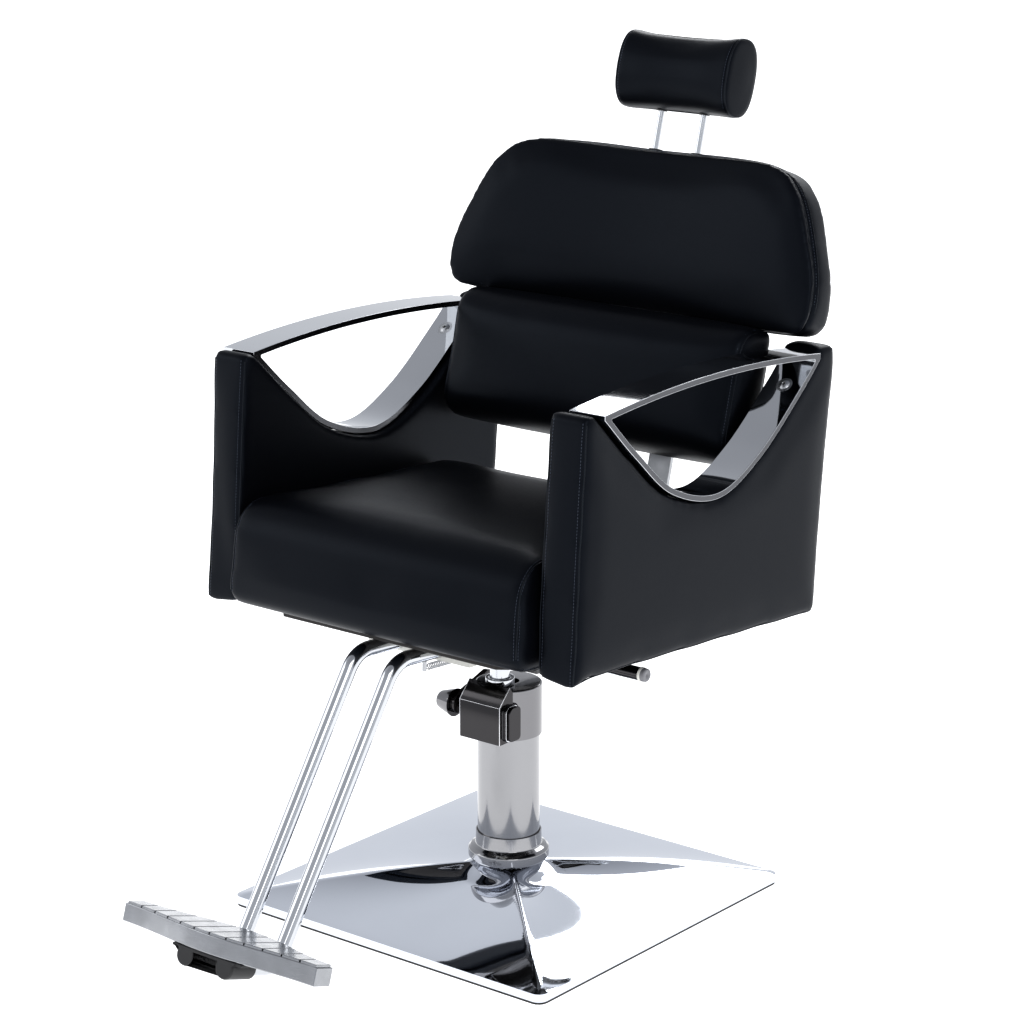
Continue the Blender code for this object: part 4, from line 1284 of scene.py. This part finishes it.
@dataclass
class Arms(Assembly):
    """The two upholstered side panels and the open chrome loops let into them."""

    body: str = "seat"
    inner: float = 0.2580
    outer: float = 0.3220
    loop_inner: float = 0.2700
    loop_outer: float = 0.3260
    band: float = 0.0080
    knots: tuple[Point2, ...] = ((-0.2140, 0.7760), (-0.1480, 0.7140), (-0.0680, 0.6515), (0.0360, 0.6260),
                                 (0.1325, 0.6640), (0.2265, 0.7350), (0.2680, 0.7720))
    stuffing: Stuffing = field(default_factory=lambda: Stuffing(0.0062, 0.0035, 3.0, 18, 5))

    def top(self, y: float) -> float:
        """Height of the loop's crowned top bar."""
        return 0.7955 - 0.245 * (y - 0.020) ** 2

    def dip(self) -> list[Point2]:
        """The loop's hanging curve, front to rear."""
        return smooth(self.knots, 14)

    def loop(self, side: Side) -> bpy.types.Object:
        """One chrome loop, a wide polished band.

        Args:
            side: Its side of the chair.

        Returns:
            The loop.
        """
        dip = self.dip()
        tops = [dip[-1][0] + (dip[0][0] - dip[-1][0]) * i / 40 for i in range(41)]
        edge = dip + [(y, self.top(y)) for y in tops]
        floor = [p for p in offset(dip, self.band, False) if p[1] < self.top(p[0]) - self.band - 0.002]
        span = [floor[-1][0] + (floor[0][0] - floor[-1][0]) * i / 40 for i in range(41)]
        hole = rounded(floor + [(y, self.top(y) - self.band) for y in span], 0.0035, 3)
        low, high = sorted((side.value * self.loop_inner, side.value * self.loop_outer))
        return plate(f"loop_{side.word}", [edge, hole], low, high, bevel=0.0014, segments=3)

    def panel_edge(self, grow: float = 0.0) -> list[Point2]:
        """The side panel's outline, its top cut to the loop.

        Args:
            grow: How far the upright and lower edges are moved outwards.

        Returns:
            A closed outline.
        """
        dip = [p for p in reversed(offset(self.dip(), -0.0012, False))]
        return [(-0.2690 - grow, 0.4430 - grow), (0.2810 + grow, 0.4080 - grow), (0.3155 + grow, 0.7640),
                *arc((0.3040, 0.7740), 0.0120 + grow, 5, 90, 6), (0.2760, 0.7862 + grow), *dip,
                (-0.2220, 0.7830), *arc((-0.2335, 0.7752), 0.0085 + grow, 60, 175, 6)]

    def held(self, point: Vector) -> bool:
        """Whether a point of the panel lies against the loop or the seat."""
        near_top = point.z > self.top(point.y) - 0.175 and -0.225 < point.y < 0.285
        under = min((Vector((point.y, point.z)) - Vector(p)).length for p in self.knots) if near_top else 1.0
        return under < 0.035 or abs(point.x) < self.inner + 0.002

    def droop(self, point: Vector) -> Vector:
        """Draw the cover's front lower corner down to the point where its folds meet."""
        near = max(0.0, 1 - math.hypot(point.y + 0.271, point.z - 0.441) / 0.045)
        outside = min(1.0, max(0.0, (abs(point.x) - self.inner) / 0.045))
        point.z -= 0.014 * near ** 2 * outside
        return point

    def build(self, frame: dict) -> None:
        """Make both sides, with their seams, stitching and screws."""
        rows = []
        for side in Side:
            sign = side.value
            loop = self.fit(self.loop(side), CHROME, "arm_ring_" + side.word)
            loop.data.materials.append(LOOP_SIDE_PAINTED_SHADE.build())
            # Faces across X take the dark copy: painted shade on the loop's flat sides.
            for face in loop.data.polygons:
                face.material_index = int(abs(face.normal.x) > 0.98)
            low, high = sorted((sign * (self.inner + 0.0010), sign * (self.outer - 0.0015)))
            shape = plate(f"panel_shape_{side.word}", [self.panel_edge()], low, high, bevel=0.005)
            panel = self.stuffing.remesh(shape)
            panel.name = f"side_panel_{side.word}"
            panel = reshape(self.stuffing.inflate(panel, self.held), UPRIGHT, self.droop)
            skin = Surface(panel)
            self.fit(panel, LEATHER, "arm_panel_" + side.word)
            outline = self.panel_edge(0.003)
            lines = {"front": [outline[-1], outline[0]], "foot": [outline[0], outline[1]],
                     "rear": [outline[1], outline[2], outline[5]]}
            for place, line in lines.items():
                for word, x in (("outer", self.outer + 0.001), ("inner", self.inner - 0.001)):
                    if place == "foot" and word == "inner":
                        continue
                    path = even([(sign * x, y, z) for y, z in line], 0.008)
                    self.seam(f"panel_seam_{place}_{word}_{side.word}", ease(skin.drape(path, 0.0001), 5), 0.0010)
                    if place != "foot":
                        step = -0.0095 if word == "outer" else 0.0095
                        path = even([(sign * (x + step), y, z) for y, z in line], 0.008)
                        rows.append(ease(skin.drape(path, 0.0003), 5))
            self.screw(side)
        self.hang(stitches("panel_stitching", rows), THREAD)

    def screw(self, side: Side) -> None:
        """The cross-recessed screw through the rear of the loop.

        Args:
            side: Its side of the chair.
        """
        low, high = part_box("ring_screw_" + side.word)
        centre = (low + high) / 2
        dip = self.dip()
        spot = min(range(1, len(dip) - 1), key=lambda i: abs(dip[i][0] - centre.y - 0.004))
        along = Vector((0, dip[spot + 1][0] - dip[spot - 1][0], dip[spot + 1][1] - dip[spot - 1][1])).normalized()
        out = Vector((0, -along.z, along.y))
        turn = out.to_track_quat("Z", "Y").to_matrix().to_4x4()
        at = Matrix.Translation(centre - out * 0.0017) @ turn @ Matrix.Diagonal((1.22, 1.22, 1.0, 1.0))
        head = lathe("screw_head", [(0, 0.0022), (0.0012, 0.0022), (0.0022, 0.0036),
                                    *arc((0, -0.0052), 0.0090, 74, 42, 8), (0.0068, 0.0), (0, 0.0)], at, 40)
        washer = lathe("screw_washer",
                       [(0.0096, 0.0006), (0.0096, -0.0002), (0.0040, -0.0002), (0.0040, 0.0010)], at, 40)
        self.fit(joined(f"loop_screw_{side.word}", [head, washer]), ZINC, "ring_screw_" + side.word)
        bars = [block(f"recess_{angle}", (-0.0024, -0.0004, 0.0024), (0.0024, 0.0004, 0.00345), 0.0,
                      at @ Matrix.Rotation(math.radians(angle), 4, "Z")) for angle in (20, 110)]
        self.fit(joined(f"screw_recess_{side.word}", bars), NYLON_BLACK)


@dataclass
class BackRest(Assembly):
    """The lumbar roll and the bowed upper back on its two flat bars."""

    body: str = "back"
    half: float = 0.308
    bow: float = 0.030
    spread: float = 1.020
    lumbar: float = 0.2510
    seam_at: float = -0.0400
    edge: tuple[Point2, ...] = ((0.0, 0.604), (0.060, 0.6048), (0.120, 0.6062), (0.180, 0.6045), (0.225, 0.594),
                                (0.252, 0.571), (0.270, 0.543), (0.288, 0.500), (0.302, 0.463), (0.3080, 0.430),
                                (0.3070, 0.404), (0.298, 0.385), (0.275, 0.3775), (0.200, 0.377), (0.0, 0.377))
    thin: Stuffing = field(default_factory=lambda: Stuffing(0.0046, 0.005, 3.0, 18, 18))
    thick: Stuffing = field(default_factory=lambda: Stuffing(0.0060, 0.004, 3.0, 18, 10))

    def outline(self, inset: float = 0.0) -> list[Point2]:
        """The upper back's edge, seen from the front.

        Args:
            inset: How far it is moved inwards.

        Returns:
            A closed outline, clockwise from the top's middle.
        """
        right = smooth(self.edge, 5)
        loop = right + [(-x, z) for x, z in reversed(right) if x > 1e-6]
        return offset(loop, -inset)

    def bent(self, x: float) -> float:
        """How far the upper back stands behind its sides at x."""
        return self.bow * (1 - (x / self.half) ** 2)

    def fullness(self, point: Vector) -> float:
        """How full the front of the upper back is at a point, from 0 at its edge to 1."""
        across = max(0.0, 1 - (point.x / 0.300) ** 4)
        up = max(0.0, 1 - abs((point.z - 0.493) / 0.112) ** 3)
        return across * up

    def pad_front(self, point: Vector) -> Vector:
        """Bow and crown the front pad."""
        swell = 0.010 + 0.006 * (0.60 - point.z) / 0.2
        if point.y < -0.043:
            point.y -= swell * self.fullness(point)
        point.y += self.bent(point.x)
        point.x *= self.spread
        return point

    def pad_rear(self, point: Vector) -> Vector:
        """Bow and crown the rear cover."""
        if point.y > 0.0:
            point.y += 0.004 * self.fullness(point)
        point.y += self.bent(point.x)
        point.x *= self.spread
        return point

    def upper(self) -> None:
        """The front pad, the boxed rear cover and the seams between them."""
        shape = plate("front_pad", [self.outline(-0.0034)], -0.0495, -0.0372, "XZ", BACK.matrix, 0.0055)
        front = reshape(self.thin.remesh(shape), BACK, self.pad_front)
        inverse = BACK.matrix.inverted()
        front = self.thin.inflate(front, lambda p: (inverse @ p).y - self.bent(p.x) > -0.042)
        shape = plate("rear_cover", [self.outline(-0.0016)], -0.0372, 0.0165, "XZ", BACK.matrix, 0.006)
        rear = reshape(self.thick.remesh(shape), BACK, self.pad_rear)
        rear = self.thick.inflate(rear, lambda p: (inverse @ p).y - self.bent(p.x) < -0.030)
        skin = Surface(front, rear)
        for sign in (-1, 1):
            hole = pipe(f"post_room_{sign}", [BACK.place((sign * 0.037, 0.034, z)) for z in (0.41, 0.66)], 0.0073, 32)
            cut = rear.modifiers.new("post", "BOOLEAN")
            cut.object = hole
            cut.solver = "EXACT"
            cut.operation = "DIFFERENCE"
            mesh = bpy.data.meshes.new_from_object(rear.evaluated_get(self.graph()))
            rear.modifiers.remove(cut)
            rear.data = mesh
            bpy.data.objects.remove(hole, do_unlink=True)
        self.fit(front, LEATHER, "back_cushion")
        self.fit(rear, LEATHER, "back_cover", "back_board")
        rows = []
        loop = [(self.spread * q[0], q[1]) for q in even([(*q, 0.0) for q in self.outline(-0.003)], 0.008, True)]
        for name, depth in (("front", self.seam_at + 0.0028), ("band", self.seam_at + 0.0130)):
            path = [BACK.place((q[0], self.bent(q[0]) + depth, q[1])) for q in loop]
            self.seam(f"back_seam_{name}", ease(skin.drape(path, 0.0001), 4), 0.0013 if name == "front" else 0.0008)
        path = [BACK.place((q[0], self.bent(q[0]) + self.seam_at + 0.0080, q[1])) for q in loop]
        rows.append(ease(skin.drape(path, 0.0003), 4))
        rear_loop = even(self.outline(0.010), 0.008, True)
        path = [BACK.place((q[0], self.bent(q[0]) + 0.030, q[1])) for q in rear_loop]
        self.seam("back_seam_rear", ease(skin.drape(path, 0.0001), 4), 0.0010)
        rear_loop = even(self.outline(0.018), 0.008, True)
        path = [BACK.place((q[0], self.bent(q[0]) + 0.030, q[1])) for q in rear_loop]
        rows.append(ease(skin.drape(path, 0.0003), 4))
        self.hang(stitches("back_stitching", rows), THREAD)

    @staticmethod
    def graph() -> bpy.types.Depsgraph:
        """The scene's evaluated state, brought up to date."""
        bpy.context.view_layer.update()
        return bpy.context.evaluated_depsgraph_get()

    def roll(self) -> None:
        """The lumbar roll and its board."""
        profile = (arc((-0.060, 0.3400), 0.0380, 90, 180, 12) + arc((-0.060, 0.2240), 0.0380, 180, 270, 12)
                   + arc((-0.030, 0.1980), 0.0120, 270, 360, 5) + arc((-0.030, 0.3660), 0.0120, 0, 90, 5))
        shape = plate("lumbar_roll", [profile], -self.lumbar, self.lumbar, at=BACK.matrix, bevel=0.009)
        pad = reshape(self.thick.remesh(shape), BACK, self.swell_roll)
        inverse = BACK.matrix.inverted()
        pad = self.thick.inflate(pad, lambda p: (inverse @ p).y > -0.024)
        skin = Surface(pad)
        self.fit(pad, LEATHER, "lumbar_cushion")
        rows = []
        outline = offset(profile, 0.004)[:26]
        for side in Side:
            for inset, row in ((0.0, False), (0.0085, True)):
                x = side.value * (self.lumbar + 0.001 - inset)
                path = ease(skin.drape(even([BACK.place((x, y, z)) for y, z in outline], 0.006), 0.0002))
                if row:
                    rows.append(path)
                else:
                    self.seam(f"lumbar_seam_{side.word}", path, 0.0010)
        self.hang(stitches("lumbar_stitching", rows), THREAD)
        board = block("lumbar_panel", (-0.2375, -0.0160, 0.195), (0.2375, -0.0050, 0.350), 0.001, BACK.matrix)
        self.fit(board, STAINED_PLY, "lumbar_board")

    def swell_roll(self, point: Vector) -> Vector:
        """Crown the lumbar roll towards the sitter."""
        if point.y < -0.045:
            point.y -= 0.005 * max(0.0, 1 - (point.x / 0.25) ** 2)
        return point

    def build(self, frame: dict) -> None:
        """Make every piece of the back."""
        self.upper()
        self.roll()
        self.keep(frame, ENAMEL, "recline_crank")
        self.keep(frame, ZINC, "back_bar_left", "back_bar_right")
        self.keep(frame, NYLON_BLACK, "headrest_sleeve_left", "headrest_sleeve_right")


@dataclass
class Headrest(Assembly):
    """The saddle-shaped head pad on its two rods."""

    body: str = "headrest"
    half: float = 0.0975
    centre: Point2 = (0.0240, 0.7215)
    radii: Point2 = (0.0372, 0.0570)
    stuffing: Stuffing = field(default_factory=lambda: Stuffing(0.0042, 0.003, 3.0, 18, 5))

    def oval(self, grow: float = 0.0, steps: int = 64) -> list[Point2]:
        """The pad's cross-section, a squarish oval.

        Args:
            grow: How far it is moved outwards.
            steps: How many points it has.

        Returns:
            A closed outline.
        """
        points = []
        for i in range(steps):
            a = 2 * math.pi * i / steps
            c, s = math.cos(a), math.sin(a)
            points.append((self.centre[0] + (self.radii[0] + grow) * math.copysign(abs(c) ** 0.78, c),
                           self.centre[1] + (self.radii[1] + grow) * math.copysign(abs(s) ** 0.78, s)))
        return points

    def saddle(self, point: Vector) -> Vector:
        """Draw the pad in towards its middle."""
        waist = max(0.0, 1 - (point.x / 0.100) ** 2)
        draw = 0.105 if point.z > self.centre[1] else 0.015
        point.z = self.centre[1] + (point.z - self.centre[1]) * (1 - draw * waist)
        if point.y < self.centre[0]:
            point.y += 0.006 * waist
        return point

    def build(self, frame: dict) -> None:
        """Make the pad, its end seams and its rods."""
        shape = plate("head_pad", [self.oval()], -self.half, self.half, at=BACK.matrix, bevel=0.005)
        pad = reshape(self.stuffing.remesh(shape), BACK, self.saddle)
        pad = self.stuffing.inflate(pad, lambda p: False)
        skin = Surface(pad)
        self.fit(pad, LEATHER, "headrest_pad")
        rows = []
        for side in Side:
            for inset, row in ((0.0, False), (0.0075, True)):
                x = side.value * (self.half + 0.001 - inset)
                ring = [BACK.place((x, y, z)) for y, z in self.oval(0.004)]
                path = ease(skin.drape(even(ring, 0.005, True), 0.0002))
                if row:
                    rows.append(path)
                else:
                    self.seam(f"head_seam_{side.word}", path, 0.0011)
            post = pipe(f"post_{side.word}", [BACK.place((side.value * 0.037, 0.034, z)) for z in (0.490, 0.730)],
                        0.0043, 40)
            self.fit(post, CHROME, "headrest_post_" + side.word)
        self.hang(stitches("head_stitching", rows, 0.0038), THREAD)
        self.keep(frame, NYLON_BLACK, "headrest_grommet_left", "headrest_grommet_right")


@dataclass
class Footrest(Assembly):
    """The two bent tubes, the ribbed footplate, its clamp and the return spring."""

    body: str = "footrest"
    tube_x: float = 0.034
    tube: float = 0.0105
    thick: float = 0.027
    half: float = 0.168
    cells: int = 12
    groove: float = 0.0022
    depth: float = 0.0030

    def path(self) -> list[Vector]:
        """The tubes' centre line on the chair's middle plane."""
        down = -(self.thick + self.tube + 0.0003)
        rear, knee = SEAT.place((0, -0.0798, -0.026)), SEAT.place((0, -0.2780, -0.026))
        heel, toe = PLATE.place((0, 0.0530, down)), PLATE.place((0, -0.0420, down))
        return [rear, *fillet(knee, rear, heel, 0.045), *fillet(heel, knee, toe, 0.030), toe]

    def shape(self) -> list[Point2]:
        """The footplate's outline, deepest in the middle.

        Returns:
            A closed outline in the footplate's frame.
        """
        across = [self.half * (i / 40 - 1) for i in range(81)]
        swell = [math.cos(math.pi * x / (2 * self.half)) ** 2 for x in across]
        front = [(x, -0.028 - 0.020 * s) for x, s in zip(across, swell)]
        rear = [(x, 0.003 + 0.037 * s) for x, s in zip(across, swell)]
        return rounded(front + rear[::-1], 0.007, 5)

    def slice(self, low: float, high: float, inset: float) -> list[Point2]:
        """The part of the footplate's outline between two places across it.

        Args:
            low: Where the slice starts.
            high: Where it ends.
            inset: How far it keeps from the outline.

        Returns:
            A closed outline.
        """
        across = [low + (high - low) * i / 8 for i in range(9)]
        swell = [math.cos(math.pi * x / (2 * self.half)) ** 2 for x in across]
        front = [(x, -0.028 - 0.020 * s + inset) for x, s in zip(across, swell)]
        rear = [(x, 0.003 + 0.037 * s - inset) for x, s in zip(across, swell)]
        return front + rear[::-1]

    def footplate(self) -> bpy.types.Object:
        """The casting: a slab with a row of raised pads parted by grooves."""
        top = -self.depth
        parts = [plate("slab", [self.shape()], -self.thick, top, "XY", PLATE.matrix, 0.0016, 3)]
        width = 2 * (self.half - 0.002) / self.cells
        for i in range(self.cells):
            low = -self.half + 0.002 + i * width
            edge = self.slice(low + self.groove / 2, low + width - self.groove / 2, 0.0012)
            if i in (0, self.cells - 1):
                edge = rounded(edge, 0.004, 4)
            parts.append(plate(f"tread_pad_{i}", [edge], top - 0.0015, 0.0, "XY", PLATE.matrix, 0.0007, 2))
        return joined("tread_casting", parts)

    def clamp(self) -> bpy.types.Object:
        """The moulded clamp that holds the footplate to the tubes."""
        top, centre = -self.thick - 0.0003, -self.thick - self.tube - 0.0003
        inner, outer, web = self.tube + 0.0003, self.tube + 0.0040, 0.0040
        rise = math.degrees(math.asin((top - web - centre) / outer))
        edge = [(-0.060, top)]
        for x in (-self.tube_x, self.tube_x):
            edge += [(x - inner, top), *arc((x, centre), inner, 180, 360, 24), (x + inner, top)]
        edge += [(0.060, top), (0.060, top - web)]
        for x in (self.tube_x, -self.tube_x):
            edge += arc((x, centre), outer, rise, -180 - rise, 28)
        edge.append((-0.060, top - web))
        sleeve = plate("clamp", [edge], -0.0440, 0.0, "XZ", PLATE.matrix, 0.0010, 2)
        shut = [(-0.052, top)] + [(0.052, top)]
        for x in (self.tube_x, -self.tube_x):
            shut += arc((x, centre), outer - 0.0006, rise, -180 - rise, 28)
        nose = plate("clamp_nose", [shut], -0.0462, -0.0424, "XZ", PLATE.matrix, 0.0016, 4)
        return joined("clamp", [sleeve, nose])

    def spring(self) -> None:
        """The return spring, a fixed coil; the real one stretches as the footrest slides out."""
        front = SEAT.place((self.tube_x, -0.2095, -0.0453))
        rear = SEAT.place((self.tube_x, -0.1495, -0.0453))
        along = rear - front
        nodes = Repeater("coil_rule", {"Turns": 17.0, "Coil": 0.0040, "Length": along.length, "Wire": 0.00075})
        inputs = nodes.start.outputs
        coil = nodes.add("GeometryNodeCurveSpiral", {"Resolution": 14, "Rotations": inputs["Turns"],
                                                     "Start Radius": inputs["Coil"], "End Radius": inputs["Coil"],
                                                     "Height": inputs["Length"]})
        turn = tuple(along.to_track_quat("Z", "Y").to_euler())
        place = nodes.add("GeometryNodeTransform", {"Geometry": coil, "Translation": tuple(front), "Rotation": turn})
        hooks = nodes.add("GeometryNodeJoinGeometry")
        nodes.tree.links.new(inputs[0], hooks.inputs[0])
        nodes.tree.links.new(place.outputs[0], hooks.inputs[0])
        ring = nodes.add("GeometryNodeCurvePrimitiveCircle", {"Resolution": 8, "Radius": inputs["Wire"]})
        wire = nodes.add("GeometryNodeCurveToMesh", {"Curve": hooks, "Profile Curve": ring, "Fill Caps": True})
        up = SEAT.matrix.to_3x3() @ Vector((0, 0, 1))
        ends = []
        for inner, outer in ((front, SEAT.place((self.tube_x, -0.2138, -0.0453))),
                             (rear, SEAT.place((self.tube_x, -0.1462, -0.0453)))):
            ends.append([inner + up * 0.0040, inner.lerp(outer, 0.5) + up * 0.0020, outer])
        made = nodes.run("coil_spring", as_curve("coil_spring", ends), wire, ZINC)
        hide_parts("return_spring")
        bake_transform(made)
        LOG.info("%s: %d faces in %s", made.name, len(made.data.polygons), ZINC.name)

    def build(self, frame: dict) -> None:
        """Make every piece of the footrest."""
        for side in Side:
            shift = Vector((side.value * self.tube_x, 0, 0))
            tube = pipe(f"tube_{side.word}", [p + shift for p in self.path()], self.tube, 48)
            self.fit(tube, CHROME, "footrest_tube_" + side.word)
        self.fit(self.footplate(), CASTING, "footplate")
        self.fit(self.clamp(), NYLON_BLACK, "footplate_clamp")
        self.keep(frame, ZINC, "footrest_cross_tube", "spring_bolt")
        self.spring()


@dataclass
class Recline(Assembly):
    """The release lever, its cable, the gas strut's rod and the footrest's link."""

    body: str = "lever"
    hinge: Point3 = (0.135, -0.092, 0.4105)
    rod: float = 0.0090
    reach: float = 0.160

    def build(self, frame: dict) -> None:
        """Make every piece of the recline gear."""
        at = Matrix.Translation(self.hinge) @ Matrix.Rotation(math.pi / 2, 4, "Y")
        outside = rounded([(self.rod, self.reach), (self.rod, -0.010)], 0.001, 2, closed=False)
        rod = lathe("lever_rod", [(0, self.reach), *outside, (0, -0.010)], at, 48)
        self.fit(rod, BLACK_CHROME, "recline_lever")
        ring = lathe("lever_ring", rounded([(0.0097, self.reach + 0.0003), (0.0060, self.reach + 0.0003),
                                            (0.0060, self.reach + 0.0045), (0.0097, self.reach + 0.0045)],
                                           0.0008, 3), at, 48)
        self.fit(ring, NYLON_PALE)
        cap = lathe("lever_end", [(0, self.reach + 0.0090), (0.0018, self.reach + 0.0092),
                                  (0.0034, self.reach + 0.0106), *arc((0.0068, self.reach + 0.0086), 0.0022, 90, 0, 5),
                                  (0.0092, self.reach + 0.0046), (0, self.reach + 0.0046)], at, 48)
        self.fit(cap, GREY_CAP, "lever_cap")
        y, z = -0.09303, -0.02515
        pin = -0.05989
        route = [(0.128, y + 0.0195, z - 0.006), (0.127, y + 0.0205, -0.046), (0.110, y + 0.018, -0.059),
                 (0.087, y + 0.011, -0.063), (0.0745, y + 0.015, -0.0605), (0.072, y + 0.022, pin),
                 (0.072, -0.0604, pin)]
        cable = pipe("control_cable", [SEAT.place(p) for p in smooth(route, 8)], 0.0025, 16)
        self.fit(cable, NYLON_BLACK, "release_cable", body="seat")
        self.keep(frame, CHROME, "strut_rod")
        self.keep(frame, ZINC, "footrest_link")


# ------------------------------------------------------------------------------ studio
@dataclass
class Studio:
    """A pale floor, soft light and the camera."""

    eye: Point3 = (2.5425, -3.1476, 1.6568)
    forward: Point3 = (-0.6056, 0.7515, -0.2618)
    lens: float = 107.65

    def camera(self) -> None:
        """Stand the camera in front of the chair, to the sitter's left."""
        data = bpy.data.cameras.new("camera")
        data.lens = self.lens
        data.sensor_width = 36.0
        data.clip_end = 100.0
        made = bpy.data.objects.new("camera", data)
        made.location = self.eye
        made.rotation_euler = Vector(self.forward).to_track_quat("-Z", "Y").to_euler()
        bpy.context.scene.collection.objects.link(made)
        bpy.context.scene.camera = made

    def floor(self) -> None:
        """A wide white floor."""
        work = bmesh.new()
        bmesh.ops.create_grid(work, x_segments=1, y_segments=1, size=60.0)
        made = as_object("floor", work)
        made.data.materials.append(Net("white_floor").surface(
            Base_Color=(0.80, 0.80, 0.80, 1.0), Roughness=0.9, Specular_IOR_Level=0.0,
            Emission_Color=(1.0, 1.0, 1.0, 1.0), Emission_Strength=0.80))

    def lamp(self, name: str, place: Point3, aim: Point3, size: Point2, power: float) -> None:
        """A rectangular soft light.

        Args:
            name: Its name.
            place: Where it stands.
            aim: What it points at.
            size: Its width and height.
            power: Its power in watts.
        """
        data = bpy.data.lights.new(name, "AREA")
        data.shape = "RECTANGLE"
        data.size, data.size_y = size
        data.energy = power
        made = bpy.data.objects.new(name, data)
        made.location = place
        made.rotation_euler = (Vector(aim) - Vector(place)).to_track_quat("-Z", "Y").to_euler()
        bpy.context.scene.collection.objects.link(made)

    def sky(self) -> None:
        """White surroundings with darker bands, which the polished metal shows."""
        world = bpy.data.worlds.new("studio")
        world.use_nodes = True
        net = Net.__new__(Net)
        net.tree = world.node_tree
        net.tree.nodes.clear()
        way = net.add("ShaderNodeSeparateXYZ", None, {0: net.add("ShaderNodeTexCoord", out="Generated")})
        height = Sock(net, way.socket.node.outputs["Z"])
        bands = net.add("ShaderNodeValToRGB", {"stops": ((0.48, (0.86, 0.88, 0.92)), (0.76, (0.70, 0.72, 0.76)),
                                                          (0.98, (0.36, 0.37, 0.40)))},
                        {0: height * 0.5 + 0.5})
        shade = net.add("ShaderNodeBackground", None, {"Color": bands, "Strength": 0.85})
        net.add("ShaderNodeOutputWorld", None, {"Surface": shade})
        bpy.context.scene.world = world

    def build(self) -> None:
        """Set the whole studio up."""
        self.camera()
        self.floor()
        self.sky()
        self.lamp("key", (3.2, -2.4, 3.4), (0, 0, 0.6), (2.2, 2.2), 38.0)
        self.lamp("fill", (-3.4, -2.6, 2.4), (0, 0, 0.6), (2.6, 2.0), 24.0)
        self.lamp("rim", (-1.2, 3.6, 3.0), (0, 0, 0.8), (3.0, 1.6), 60.0)
        view = bpy.context.scene.view_settings
        view.view_transform = "Standard"
        view.look = "Medium High Contrast"


def main() -> None:
    """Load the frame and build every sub-assembly."""
    logging.basicConfig(level=logging.INFO, format="%(name)s %(message)s")
    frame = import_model()
    bpy.context.view_layer.update()
    Studio().build()
    for assembly in (Base(), Pump(), SeatFrame(), SeatCushion(), Arms(), BackRest(), Headrest(), Footrest(),
                     Recline()):
        assembly.build(frame)
    bpy.context.view_layer.update()


if __name__ == "__main__":
    main()
